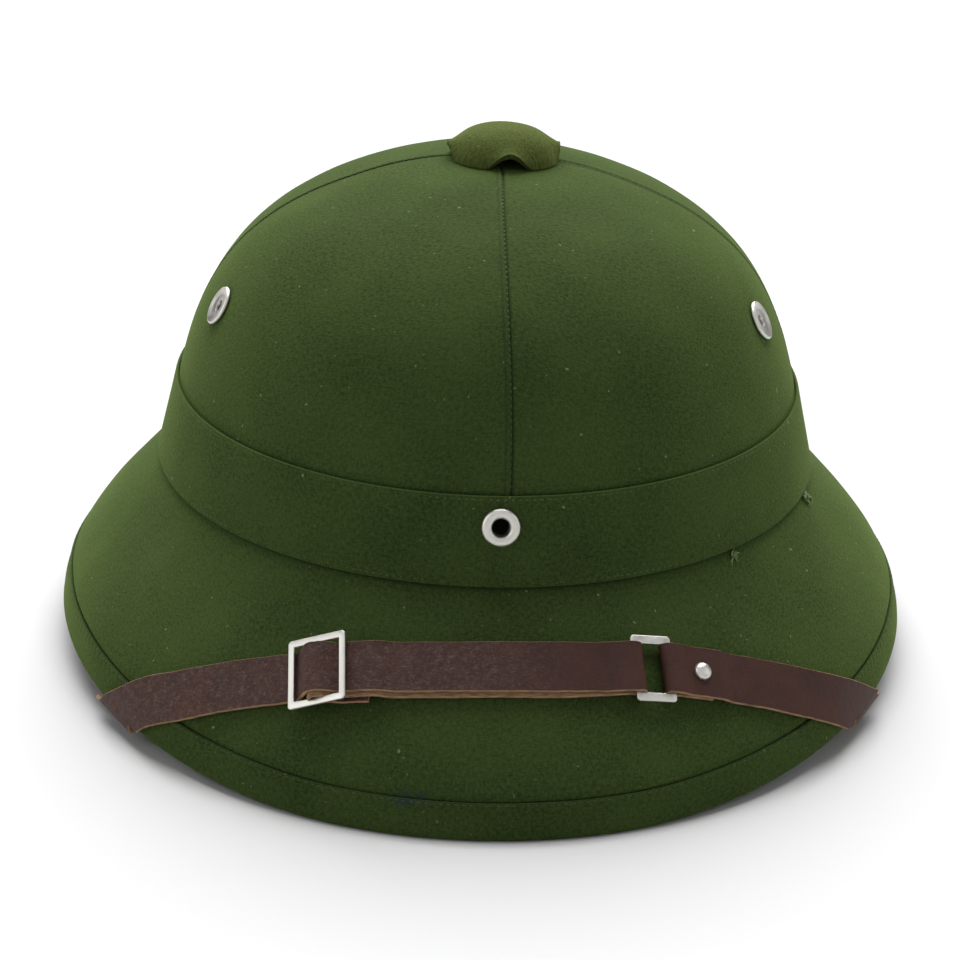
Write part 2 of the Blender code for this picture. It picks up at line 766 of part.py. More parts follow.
def make_long_strap():
    """The strap from the left anchor, round the brim's edge, through the slide, round the ring and back to
    the middle bar of the slide."""
    left_of_bar = (SLIDE - FOLD_SHIFT, SLIDE_LEVEL)
    right_of_bar = (SLIDE + FOLD_SHIFT, SLIDE_LEVEL)
    window = SLIDE_BAR - BAR_WIDTH / 2 - CLEARANCE
    tail_end = SLIDE + TAIL_LENGTH
    ring_bar = RING - RING_BAR
    rest = 0.0015
    loop = over_bar((SLIDE + window, LEVEL + LAYER), right_of_bar, FOLD_RADIUS)[::-1]
    loop += run((SLIDE + SLIDE_BAR, LEVEL + LAYER), (tail_end + rest, LEVEL + LAYER))
    loop += ease((tail_end + rest, LEVEL + LAYER), (tail_end + 0.007, LEVEL), 4)[1:]
    path = [(step, LEVEL) for step in EDGE_STEPS]
    path += run((STRAP_START, LEVEL), (SLIDE - SLIDE_BAR, LEVEL))
    path += over_bar((SLIDE - window, LEVEL), left_of_bar, FOLD_RADIUS + LAYER)
    path += offset_path(loop, LAYER)
    path += run((tail_end + 0.009, LEVEL + LAYER), (ring_bar - 0.012, LEVEL + LAYER))
    path += ease((ring_bar - 0.01, LEVEL + LAYER), (ring_bar - 0.001, BAR_LEVEL + FOLD_RADIUS), 5)
    path += fold(ring_bar, BAR_LEVEL, 1, upward=False)
    half_way = len(path)
    path += run((ring_bar - 0.002, LEVEL), (tail_end + 0.009, LEVEL))
    path += loop[::-1]
    path += fold(SLIDE, SLIDE_LEVEL, -1, upward=False)
    path += ease((SLIDE + 0.001, SLIDE_LEVEL - FOLD_RADIUS), (SLIDE + SLIDE_BAR, LEVEL), 5)
    path += run((SLIDE + SLIDE_BAR + 0.002, LEVEL), (tail_end, LEVEL))
    slip = np.zeros(len(path))
    slip[half_way:] = -LAYER_SLIP * np.minimum(1, np.arange(len(path) - half_way) / 5)
    sections = route_sections(path, slip)
    places, lines = wrap_sections(-1)
    wrap = slanted_sections(places[::-1], lines[::-1], unit(places[-2] - places[-1]))
    sections = turn_lines(sections, lines[0], 6, at_end=False)
    mesh = strap_mesh(wrap + sections)
    return add_part("strap_long", mesh, (LEATHER_BROWN, 0.55))


def make_short_strap():
    """The strap that is folded round the ring and runs round the brim's edge to the right anchor."""
    ring_bar = RING + RING_BAR
    flap_end = ring_bar + FLAP_LENGTH
    path = run((flap_end, LEVEL), (ring_bar + 0.002, LEVEL))
    path += fold(ring_bar, BAR_LEVEL, -1, upward=True)
    path += ease((ring_bar + 0.001, BAR_LEVEL + FOLD_RADIUS), (ring_bar + 0.007, LEVEL + LAYER), 5)
    path += run((ring_bar + 0.008, LEVEL + LAYER), (flap_end + 0.0015, LEVEL + LAYER))
    path += ease((flap_end + 0.0025, LEVEL + LAYER), (flap_end + 0.007, LEVEL), 4)
    path += run((flap_end + 0.01, LEVEL), (ROUTE.end - STRAP_START, LEVEL))
    path += [(ROUTE.end - step, LEVEL) for step in EDGE_STEPS[::-1]]
    sections = route_sections(path, np.zeros(len(path)))
    places, lines = wrap_sections(1)
    wrap = slanted_sections(places, lines, unit(places[1] - places[0]))
    sections = turn_lines(sections, lines[0], 6, at_end=True)
    return add_part("strap_short", strap_mesh(sections + wrap), (LEATHER_BROWN, 0.5))


def rectangle(curve, width, height, centre=0.0):
    """Adds a closed rectangle to a flat curve."""
    spline = curve.splines.new("POLY")
    spline.points.add(3)
    corners = ((-1, -1), (1, -1), (1, 1), (-1, 1))
    for point, (x_side, y_side) in zip(spline.points, corners):
        point.co = (centre + x_side * width / 2, y_side * height / 2, 0, 1)
    spline.use_cyclic_u = True


def make_frame(name, length, height, middle_bar, left_over, right_over, along):
    """A flat metal frame on the strap, with or without a middle bar, its corners softened. The levels are
    those of the middles of its left and right bars."""
    outline = bpy.data.curves.new(name, "CURVE")
    outline.dimensions = "2D"
    outline.fill_mode = "BOTH"
    outline.extrude = BAR_THICKNESS / 2
    rectangle(outline, length, height)
    inner = length - 2 * BAR_WIDTH
    inner_height = height - 2 * BAR_WIDTH
    if middle_bar:
        window = (inner - BAR_WIDTH) / 2
        for side in (-1, 1):
            rectangle(outline, window, inner_height, side * (window + BAR_WIDTH) / 2)
    else:
        rectangle(outline, inner, inner_height)
    guide = bpy.data.objects.new(name + "_outline", outline)
    CUTTERS.objects.link(guide)
    mesh = evaluated_mesh(guide)
    bpy.data.objects.remove(guide)
    shape = bmesh.new()
    shape.from_mesh(mesh)
    bmesh.ops.remove_doubles(shape, verts=shape.verts, dist=1e-6)
    bmesh.ops.dissolve_limit(shape, angle_limit=math.radians(1), verts=shape.verts, edges=shape.edges)
    shape.to_mesh(mesh)
    shape.free()
    frame = add_part(name, mesh, (NICKEL, 0.3, 1.0), smooth=False)
    soften = frame.modifiers.new("soften", "BEVEL")
    soften.width = BAR_THICKNESS / 4
    soften.segments = 1
    soften.limit_method = "ANGLE"
    point, travel, normal, _ = ROUTE.frame(along)
    tilt = math.asin((right_over - left_over) / (length - BAR_WIDTH))
    axis = normal * math.cos(tilt) - travel * math.sin(tilt)
    place(frame, point + normal * (left_over + right_over) / 2, axis, travel)
    return frame


def make_stud(short_strap):
    """The domed stud that holds the short strap's fold closed, with its shank through both layers."""
    along = RING + RING_BAR + STUD_DISTANCE
    point, _, normal, _ = ROUTE.frame(along)
    top = LEVEL + LAYER + LEATHER / 2 + CLEARANCE
    profile = [
        (0, top + STUD_RISE),
        (0.45 * STUD_RADIUS, top + 0.9 * STUD_RISE),
        (0.8 * STUD_RADIUS, top + 0.62 * STUD_RISE),
        (STUD_RADIUS, top + 0.2 * STUD_RISE),
        (STUD_RADIUS, top),
        (STUD_SHANK, top),
        (STUD_SHANK, STRAP_LIFT),
        (0, STRAP_LIFT),
    ]
    stud = add_part("strap_stud", profile_mesh(profile, False), (NICKEL, 0.25, 1.0))
    screw(stud, ROUND_SIDES)
    place(stud, point, normal)
    drill("stud_hole", short_strap, STUD_SHANK + CLEARANCE, point + normal * LEVEL, normal, 0.012)


def make_anchor(name, side, crown, strap):
    """A hidden rivet that holds one end of the strap to the crown's foot, below the band."""
    outside, normal = anchor_place(side)
    inner = WALL + seat_on(STRAP_WIDTH / 2) + LEATHER + CLEARANCE
    profile = [
        (0, inner + ANCHOR_HEAD_THICKNESS),
        (0.7 * ANCHOR_HEAD, inner + ANCHOR_HEAD_THICKNESS),
        (ANCHOR_HEAD, inner + 0.4 * ANCHOR_HEAD_THICKNESS),
        (ANCHOR_HEAD, inner),
        (ANCHOR_PIN, inner),
        (ANCHOR_PIN, CLEARANCE),
        (0, CLEARANCE),
    ]
    anchor = add_part(name, profile_mesh(profile, False), (NICKEL, 0.4, 1.0), smooth=False)
    screw(anchor, ROUND_SIDES)
    place(anchor, outside, -normal)
    for target in (crown, strap):
        hole = target.name + "_" + name + "_hole"
        drill(hole, target, ANCHOR_PIN + CLEARANCE, outside - normal * WALL, normal, 8 * WALL)


def make_hat():
    """Makes every part of the hat."""
    crown = make_crown()
    make_brim()
    band = make_hat_band()
    make_binding()
    make_top_button()
    make_button_post()
    drill("post_hole", crown, POST_RADIUS + CLEARANCE, (BUTTON_SHIFT, 0, CROWN_TOP), (0, 0, 1), 8 * WALL)
    make_eyelets(crown, band)
    long_strap = make_long_strap()
    short_strap = make_short_strap()
    make_frame(
        "strap_slide", SLIDE_LENGTH, SLIDE_HEIGHT, True, SLIDE_LEFT_LEVEL, SLIDE_RIGHT_LEVEL, SLIDE
    )
    make_frame("strap_ring", RING_LENGTH, RING_HEIGHT, False, BAR_LEVEL, BAR_LEVEL, RING)
    make_stud(short_strap)
    make_anchor("anchor_left", -1, crown, long_strap)
    make_anchor("anchor_right", 1, crown, short_strap)


make_hat()
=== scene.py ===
"""The finish of a cloth-covered sun helmet: woven cotton, stitched seams, nickel eyelets and a leather strap.

Units are metres, +Z is up and the front of the hat faces -Y. Sizes come from the frame's boxes where the
frame holds them. The other sizes are those that the pieces of the frame were made with.
"""

import math

import bpy
import numpy as np
from mathutils import Matrix, Vector


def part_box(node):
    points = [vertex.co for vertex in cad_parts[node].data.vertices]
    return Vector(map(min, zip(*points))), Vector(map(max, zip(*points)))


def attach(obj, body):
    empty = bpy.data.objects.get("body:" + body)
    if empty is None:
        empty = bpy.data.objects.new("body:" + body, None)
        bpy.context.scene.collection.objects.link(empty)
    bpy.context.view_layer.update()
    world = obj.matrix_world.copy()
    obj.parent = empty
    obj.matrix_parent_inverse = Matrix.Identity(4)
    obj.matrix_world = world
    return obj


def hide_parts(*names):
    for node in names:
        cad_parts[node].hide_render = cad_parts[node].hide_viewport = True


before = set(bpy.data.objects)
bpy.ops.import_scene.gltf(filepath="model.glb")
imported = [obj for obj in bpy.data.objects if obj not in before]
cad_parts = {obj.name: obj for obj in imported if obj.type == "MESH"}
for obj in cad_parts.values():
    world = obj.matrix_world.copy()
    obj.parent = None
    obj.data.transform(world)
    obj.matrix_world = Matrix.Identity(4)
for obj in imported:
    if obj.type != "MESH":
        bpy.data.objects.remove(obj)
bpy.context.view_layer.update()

# Sizes read from the frame
BINDING_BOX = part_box("brim_binding")
CROWN_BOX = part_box("crown")
BAND_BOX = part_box("hat_band")
BUTTON_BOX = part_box("top_button")
HAT_WIDTH = BINDING_BOX[1][0] - BINDING_BOX[0][0]
HAT_LENGTH = BINDING_BOX[1][1] - BINDING_BOX[0][1]
CROWN_TOP = CROWN_BOX[1][2]
BAND_FOOT = BAND_BOX[0][2]
CROWN_RISE = CROWN_TOP - BAND_FOOT
BUTTON_TOP = BUTTON_BOX[1][2]

# The hat's own shape
SIDE_LIFT = 0.0095
FLAT_SHARE = 0.28
LIFT_POWER = 1.8
CROWN_WIDTH = 0.2084
CROWN_LENGTH = 0.234
CROWN_MEAN_RADIUS = (CROWN_WIDTH + CROWN_LENGTH) / 4
BAND_HEIGHT = 0.0256
JOINT_RISE = 0.003
STEEP_START = 0.13
ROLLED_EDGE = 0.39
# Rows of CROWN_PROFILE: share of the crown's height above the band's foot, share of its width
CROWN_PROFILE = [
    (0.00, 1.000), (0.15, 0.967), (0.30, 0.936), (0.45, 0.894), (0.60, 0.825), (0.73, 0.724),
    (0.84, 0.582), (0.93, 0.389), (0.98, 0.215), (1.00, 0.000),
]

# Walls, cloths and leather
WALL = 0.0025
CROWN_CLOTH_GAP = 0.0003
CLEARANCE = 0.0003
BAND_CLOTH = 0.001
BAND_HEM = 0.015
BINDING_CLOTH = 0.0008
LEATHER = 0.0012

# The binding's rounded foot, the thickness of its inner layer, and the depth of its outer layer's back
BINDING_ROUND = 0.0011
BINDING_INNER = 0.0006
BINDING_LAP = 0.0007

# The binding's face, from its sewn edge down: distance above the brim's edge, depth below the brim's face
BINDING_FACE = [
    (0.0109, 0.0007), (0.0111, 0.0002), (0.0109, -0.0002), (0.0104, -0.0003), (0.0096, -0.00025),
    (0.0085, -0.0001), (0.0072, 0.0), (0.0058, 0.0), (0.0044, 0.0), (0.003, 0.0), (0.0018, 0.0),
]

# Seams of the crown's four panels: the front one leans a little to the right on its way down
SEAM_LEAN_TOP = 0.0028
SEAM_LEAN_FOOT = 0.0072
SEAM_GROOVE = 0.00055
SEAM_GROOVE_HALF_WIDTH = 0.0006
SEAM_RIDGE = 0.00022
SEAM_RIDGE_WIDTH = 0.0019
SEAM_COLUMNS = (0, 0.25, 0.5, 0.8, 1.2, 1.6, 2.0, 2.4, 3.0, 3.8, 5.0, 6.5)
STITCH_PITCH = 0.0021
STITCH_LENGTH = 0.0013
THREAD_RADIUS = 0.00022

# The button
BUTTON_SHIFT = 0.003
BUTTON_RADIUS = 0.0177
BUTTON_WALL = 0.002
ARCH_RISE = 0.0054
ARCH_HALF_ANGLE = math.radians(25)
BUTTON_TURN = math.radians(6)
# Rows of BUTTON_PROFILE: share of the radius, of the rise, and of the arches' rise
BUTTON_PROFILE = [
    (0.00, 1.00, 0.00), (0.34, 0.95, 0.00), (0.62, 0.80, 0.00), (0.82, 0.56, 0.10),
    (0.95, 0.25, 0.50), (1.00, 0.00, 1.00),
]

# The metal eyelets
EYELET_SHIFT = 0.004
EYELET_HEIGHT = 0.0738
EYELET_RADIUS = 0.0056
EYELET_BORE = 0.0026
VENT_ANGLE = math.radians(71)
VENT_HEIGHT = 0.112
VENT_RADIUS = 0.0063
VENT_BORE = 0.0019
BARREL_WALL = 0.0009

# A dark mark on the brim, where something was rubbed against the binding's seam
SCUFF_PLACE = (-0.0196, -0.16, 0.0105)

# The chin strap and its metal
STRAP_WIDTH = 0.0153
STRAP_LIFT = 0.0004
LAYER_GAP = 0.0002
LAYER_SLIP = 0.0012
TAIL_SLIP = 0.0012
BAR_WIDTH = 0.0017
BAR_THICKNESS = 0.001
SIDE_BAR = 0.0019
FOLD_RADIUS = 0.00145
FOLD_SHIFT = 0.0005
SLIDE_LENGTH = 0.0173
SLIDE_HEIGHT = 0.0213
SLIDE_ANGLE = math.radians(-22.4)
RING_LENGTH = 0.0123
RING_HEIGHT = 0.0195
RING_ANGLE = math.radians(23.7)
TAIL_LENGTH = 0.015
FLAP_LENGTH = 0.0135
STUD_DISTANCE = 0.0098
STUD_RADIUS = 0.0027
STUD_RISE = 0.0018
ANCHOR_HEIGHT = 0.068
ANCHOR_ANGLE = math.radians(76)
STRAP_END = 0.006
STRAP_LANDING = 0.009
STRAP_BOW = 0.0065
EDGE_SLACK = 0.0006
LEAST_SLANT = 0.6
TAIL_STEPS = 30

# Rows of STRAP_ROUTE: angle from the front in degrees, share of the brim from band to edge
STRAP_ROUTE = [
    (-52.4, 1.000), (-47.4, 0.852), (-42.3, 0.754), (-35.0, 0.637), (-27.0, 0.546), (-18.1, 0.466),
    (-9.5, 0.430), (0.0, 0.413), (8.0, 0.415), (15.0, 0.428), (20.0, 0.446), (24.0, 0.467),
    (29.0, 0.502), (35.0, 0.563), (41.0, 0.641), (48.0, 0.757), (54.0, 0.882), (58.5, 1.000),
]

# Colours, as sRGB
COTTON = "#37491f"
COTTON_DEEP = "#1d290e"
COTTON_PALE = "#516330"
LINT = "#a9b08e"
BUTTON_COTTON = "#535b29"
BUTTON_DEEP = "#353c17"
# The dark thread's colour, also the colour that painted shade in seams and gaps is mixed towards
THREAD_AND_PAINTED_SHADE = "#18220f"
PALE_THREAD = "#4d5c34"
LOOSE_COTTON = "#7c9152"
OXBLOOD = "#46281f"
OXBLOOD_DARK = "#321b16"
SCUFF = "#8c7f78"
RAW_HIDE = "#ac8862"
RAW_HIDE_DARK = "#6b4d36"
NICKEL = "#cfcdc7"
NICKEL_DULL = "#b9b7b0"
INK_SCUFF = "#2b333c"
SHEEN = "#869e4a"
PAPER = "#d6d6d6"


def unit(vector):
    """The vector at length 1."""
    return vector / np.linalg.norm(vector, axis=-1, keepdims=True)


def travelled(points):
    """The distance from a line's first point to each, for one line or many side by side."""
    steps = np.linalg.norm(np.diff(points, axis=0), axis=-1)
    return np.concatenate([np.zeros_like(steps[:1]), np.cumsum(steps, axis=0)])


def between(spot, lengths, values):
    """The row of values at a distance along a line."""
    return np.array([np.interp(spot, lengths, column) for column in values.T])


def smooth_rows(rows, steps):
    """A smooth curve through the rows of a table."""
    rows = np.array(rows, dtype=float)
    ends = np.vstack([2 * rows[0] - rows[1], rows, 2 * rows[-1] - rows[-2]])[:, None]
    before, start, stop, after = ends[:-3], ends[1:-2], ends[2:-1], ends[3:]
    share = (np.arange(steps) / steps)[:, None]
    bend = 2 * before - 5 * start + 4 * stop - after
    turn = -before + 3 * start - 3 * stop + after
    curve = start + 0.5 * share * (stop - before + share * (bend + share * turn))
    return np.vstack([curve.reshape(-1, rows.shape[1]), rows[-1:]])


CROWN_CURVE = smooth_rows(CROWN_PROFILE, 14)


def crown_share(height):
    """The crown's width at a height, as a share of its width at the band's foot."""
    return np.interp((np.asarray(height) - BAND_FOOT) / CROWN_RISE, CROWN_CURVE[:, 0], CROWN_CURVE[:, 1])


def crown_point(angle, height):
    """Points on the crown's outside, at angles from the front towards +X."""
    share = crown_share(height) / 2
    x = CROWN_WIDTH * share * np.sin(angle)
    y = -CROWN_LENGTH * share * np.cos(angle)
    return np.stack(np.broadcast_arrays(x, y, np.asarray(height, dtype=float)), axis=-1)


def crown_height(x, y):
    """The height of the crown's outside over points of the floor."""
    share = np.hypot(2 * x / CROWN_WIDTH, 2 * y / CROWN_LENGTH)
    return BAND_FOOT + np.interp(share, CROWN_CURVE[::-1, 1], CROWN_CURVE[::-1, 0]) * CROWN_RISE


def edge_point(angle):
    """Points on the brim's finished edge."""
    angle = np.asarray(angle, dtype=float)
    raised = np.maximum(0.0, (np.abs(np.sin(angle)) - FLAT_SHARE) / (1 - FLAT_SHARE))
    lift = SIDE_LIFT * raised**LIFT_POWER
    return np.stack([HAT_WIDTH / 2 * np.sin(angle), -HAT_LENGTH / 2 * np.cos(angle), lift], axis=-1)


def brim_point(angle, share):
    """Points on the brim's outside: share 0 at the band's foot, 1 at the brim's edge."""
    angle, share = np.broadcast_arrays(np.asarray(angle, dtype=float), np.asarray(share, dtype=float))
    foot = crown_point(angle, BAND_FOOT)
    edge = edge_point(angle)
    out = (edge - foot) * (1, 1, 0)
    drop = (foot - edge) * (0, 0, 1)
    below_foot = foot + STEEP_START * (out / 2 - drop)
    above_edge = edge + ROLLED_EDGE * drop
    share = share[..., None]
    rest = 1 - share
    upper = rest**3 * foot + 3 * rest**2 * share * below_foot
    return upper + 3 * rest * share**2 * above_edge + share**3 * edge


def surface_normal(surface, angle, place, step):
    """The outward normals of a surface given by an angle and a second value."""
    along = surface(angle + 1e-3, place) - surface(angle - 1e-3, place)
    up = surface(angle, place - step) - surface(angle, place + step)
    normal = unit(np.cross(along, up))
    outward = np.sum(normal[..., :2] * surface(angle, place)[..., :2], axis=-1, keepdims=True)
    return np.where(outward > 0, normal, -normal)


def brim_normal(angle, share):
    """The brim's outward normals, level at its edge."""
    return surface_normal(brim_point, angle, np.minimum(share, 0.999), 1e-3)


def crown_normal(angle, height):
    """The crown's outward normals, close to upright at its top."""
    return surface_normal(crown_point, angle, np.minimum(height, CROWN_TOP - 2e-4), -1e-4)


def shares_above_edge(angle, distances):
    """The brim's shares at distances above its edge, for each of many angles."""
    shares = np.linspace(1, 0, 61)
    lengths = travelled(brim_point(angle[None, :], shares[:, None])).T
    return np.array([np.interp(distances, row, shares) for row in lengths])


def brim_layer(angles, distances, depths):
    """Rows of places at distances above the brim's edge and depths below its outside."""
    shares = shares_above_edge(angles, distances).T
    turns = np.broadcast_to(angles, shares.shape)
    return brim_point(turns, shares) - depths * brim_normal(turns, shares)


def uneven(points, size, seed):
    """A soft unevenness from -1 to 1 that varies over about one size, as on hand-glued cloth."""
    spin = np.random.default_rng(seed)
    total = np.zeros(points.shape[:-1])
    for _ in range(7):
        direction = unit(spin.normal(size=3))
        wave = 2 * math.pi / (size * spin.uniform(0.6, 1.6))
        total += np.sin(points @ direction * wave + spin.uniform(0, 2 * math.pi))
    return total / 7


def deselect():
    """Leaves nothing selected, in object mode."""
    if bpy.context.object and bpy.context.object.mode != "OBJECT":
        bpy.ops.object.mode_set(mode="OBJECT")
    bpy.ops.object.select_all(action="DESELECT")


def make_active(piece):
    """Selects one piece alone."""
    deselect()
    piece.select_set(True)
    bpy.context.view_layer.objects.active = piece


def merge(piece):
    """Closes the piece's seams and poles and turns its faces outwards."""
    make_active(piece)
    bpy.ops.object.mode_set(mode="EDIT")
    bpy.ops.mesh.select_all(action="SELECT")
    bpy.ops.mesh.remove_doubles(threshold=2e-6)
    bpy.ops.mesh.normals_make_consistent(inside=False)
    bpy.ops.object.mode_set(mode="OBJECT")


def finish_piece(piece, finishes, node=None, smooth=40):
    """Gives a piece its materials, its shading and its place on the frame."""
    make_active(piece)
    bpy.ops.object.transform_apply(location=True, rotation=True, scale=True)
    bpy.ops.object.shade_smooth_by_angle(angle=math.radians(smooth))
    for material in finishes:
        piece.data.materials.append(material)
    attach(piece, "root")
    if node:
        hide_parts(node)


def grid(name, places):
    """A grid mesh through rows and columns of places."""
    rows, columns = places.shape[:2]
    deselect()
    bpy.ops.mesh.primitive_grid_add(x_subdivisions=columns - 1, y_subdivisions=rows - 1, size=1)
    piece = bpy.context.object
    piece.name = name
    piece.data.vertices.foreach_set("co", np.ascontiguousarray(places, dtype=np.float32).ravel())
    return piece


def cloth_grid(name, places, painted_shading=None, flat=None):
    """A closed sheet through rows and columns of places. Flat gives each one's spot on the flat cloth, in
    metres, and painted_shading gives how much shade is painted on each where it is above 0, and how much
    highlight where it is below 0."""
    if flat is None:
        along = travelled(places.swapaxes(0, 1)).T
        flat = np.stack([along - along[:, [places.shape[1] // 2]], travelled(places)], axis=-1)
    piece = grid(name, places)
    piece.data.name = name
    corners = np.empty(len(piece.data.loops), dtype=np.int32)
    piece.data.loops.foreach_get("vertex_index", corners)
    spots = np.ascontiguousarray(flat, dtype=np.float32).reshape(-1, 2)[corners]
    piece.data.uv_layers[0].data.foreach_set("uv", spots.ravel())
    if painted_shading is not None:
        depth = np.broadcast_to(painted_shading, places.shape[:2]).astype(np.float32)
        piece.data.attributes.new("painted_shading", "FLOAT", "POINT").data.foreach_set("value", depth.ravel())
    piece.data.update()
    return piece


def apply_modifiers(piece):
    """Makes a piece's modifiers part of its mesh."""
    make_active(piece)
    for modifier in list(piece.modifiers):
        bpy.ops.object.modifier_apply(modifier=modifier.name)


def linear(colour, alpha=1.0):
    """A hex sRGB colour as linear values."""
    values = [int(colour[start:start + 2], 16) / 255 for start in (1, 3, 5)]
    return [v / 12.92 if v <= 0.04045 else ((v + 0.055) / 1.055) ** 2.4 for v in values] + [alpha]


def add_node(tree, kind, inputs=None, **settings):
    """Adds a node, sets its options, and gives its inputs values or links."""
    made = tree.nodes.new("ShaderNode" + kind)
    for name, value in settings.items():
        setattr(made, name, value)
    for key, value in (inputs or {}).items():
        if isinstance(value, bpy.types.NodeSocket):
            tree.links.new(value, made.inputs[key])
        else:
            made.inputs[key].default_value = value
    return made


class Finish:
    """A material with a Principled shader, and the nodes that its look is worked out with."""

    def __init__(self, name, **sockets):
        self.material = bpy.data.materials.new(name)
        self.material.use_nodes = True
        self.tree = self.material.node_tree
        self.shader = self.tree.nodes["Principled BSDF"]
        for socket, value in sockets.items():
            self.shader.inputs[socket.replace("_", " ")].default_value = value
        place = add_node(self.tree, "TexCoord")
        self.flat = place.outputs["UV"]
        self.solid = place.outputs["Object"]

    def maths(self, operation, first, second):
        """A sum, product or other plain arithmetic of two values."""
        return add_node(self.tree, "Math", {0: first, 1: second}, operation=operation).outputs[0]

    def vector(self, operation, first, second=(0, 0, 0), output=0):
        """Plain arithmetic of two vectors."""
        return add_node(self.tree, "VectorMath", {0: first, 1: second}, operation=operation).outputs[output]

    def remapped(self, value, low, high, to_low=0.0, to_high=1.0):
        """A value mapped from one range to another and kept inside it."""
        inputs = {"Value": value, "From Min": low, "From Max": high, "To Min": to_low, "To Max": to_high}
        return add_node(self.tree, "MapRange", inputs).outputs["Result"]

    def noise(self, place, size, detail=2.0, roughness=0.5):
        """Noise whose blotches are about one size, in metres."""
        inputs = {"Vector": place, "Scale": 1 / size, "Detail": detail, "Roughness": roughness}
        return add_node(self.tree, "TexNoise", inputs).outputs["Fac"]

    def drawn_out(self, place, along, across, detail=2.0, roughness=0.5):
        """Noise drawn out to threads or scratches of a length and a width."""
        inputs = {"Vector": place, "Scale": (1 / along, 1 / across, 1 / across)}
        return self.noise(add_node(self.tree, "Mapping", inputs).outputs["Vector"], 1.0, detail, roughness)

    def mixed(self, share, first, second):
        """A shade between two, each a link or a hex colour."""
        shades = [linear(shade) if isinstance(shade, str) else shade for shade in (first, second)]
        return add_node(self.tree, "Mix", {0: share, 6: shades[0], 7: shades[1]}, data_type="RGBA").outputs[2]

    def tinted(self, shade, share, strength, colour):
        """A shade with some of a colour over it, by a share times a strength."""
        return self.mixed(self.maths("MULTIPLY", share, strength), shade, colour)

    def finished(self, shade, height=None, strength=0.0, distance=0.0, roughness=None):
        """Links a shade, a fine relief and a roughness to the shader, and gives the material."""
        self.tree.links.new(shade, self.shader.inputs["Base Color"])
        if height is not None:
            bump = add_node(self.tree, "Bump", {"Height": height, "Strength": strength, "Distance": distance})
            self.tree.links.new(bump.outputs["Normal"], self.shader.inputs["Normal"])
        if roughness is not None:
            self.tree.links.new(roughness, self.shader.inputs["Roughness"])
        return self.material


def woven_cotton(name, colour, deep, pale, thread=0.0006, scuffed_at=None):
    """Woven cotton, dyed and glued over a shell: matte, with a soft nap that catches light at the sides.

    Real threads are about 0.4 mm apart. They are drawn half as coarse again, so that they show in the render.
    The painted_shading attribute paints shade into the cloth in seams and gaps, above 0, and paints a
    highlight along the band's raised top fold, below 0."""
    made = Finish(name, Roughness=0.93, Specular_IOR_Level=0.1, Sheen_Weight=0.34, Sheen_Roughness=0.45)
    made.shader.inputs["Sheen Tint"].default_value = linear(SHEEN)
    warp = made.drawn_out(made.flat, 2.4 * thread, thread, 1.0)
    weft = made.drawn_out(made.flat, thread, 2.4 * thread, 1.0)
    weave = made.remapped(made.maths("ADD", warp, weft), 0.72, 1.28)
    blotch = made.remapped(made.noise(made.solid, 0.03, 3.0), 0.3, 0.7)
    slub = made.remapped(made.drawn_out(made.flat, 0.02, 0.0012), 0.62, 0.8)
    nap = made.remapped(made.noise(made.solid, 0.00045, 1.0), 0.45, 0.75)
    fluff = made.remapped(made.noise(made.solid, 0.0014, 0.0), 0.83, 0.9)
    shade = made.mixed(weave, deep, colour)
    marks = ((blotch, 0.25, pale), (slub, 0.12, pale), (nap, 0.22, pale), (fluff, 0.4, LINT))
    for share, strength, over in marks:
        shade = made.tinted(shade, share, strength, over)
    if scuffed_at:
        away = made.vector("MULTIPLY", made.vector("SUBTRACT", made.solid, scuffed_at), (1.0, 2.6, 2.6))
        reach = made.vector("LENGTH", away, output="Value")
        streaks = made.remapped(made.drawn_out(made.solid, 0.003, 0.0007), 0.42, 0.6)
        smear = made.maths("MULTIPLY", made.remapped(reach, 0.0085, 0.003), streaks)
        shade = made.tinted(shade, smear, 0.75, INK_SCUFF)
    # Painted shade: the cloth is mixed towards the dark thread colour where the attribute is above 0. Painted
    # highlight: it is mixed towards the pale colour where the attribute is below 0.
    painted_shading = add_node(made.tree, "Attribute", attribute_name="painted_shading").outputs["Fac"]
    shade = made.mixed(made.remapped(painted_shading, 0.0, 1.0, 0.0, 0.85), shade, THREAD_AND_PAINTED_SHADE)
    shade = made.mixed(made.remapped(painted_shading, 0.0, -1.0), shade, pale)
    return made.finished(shade, made.maths("ADD", weave, made.maths("MULTIPLY", nap, 0.5)), 0.5, 0.00012)


def sewing_thread(name, colour):
    """Polyester sewing thread, twisted, in a shade near that of the cloth."""
    made = Finish(name, Roughness=0.7)
    return made.finished(made.mixed(made.noise(made.solid, 0.0004), colour, COTTON))


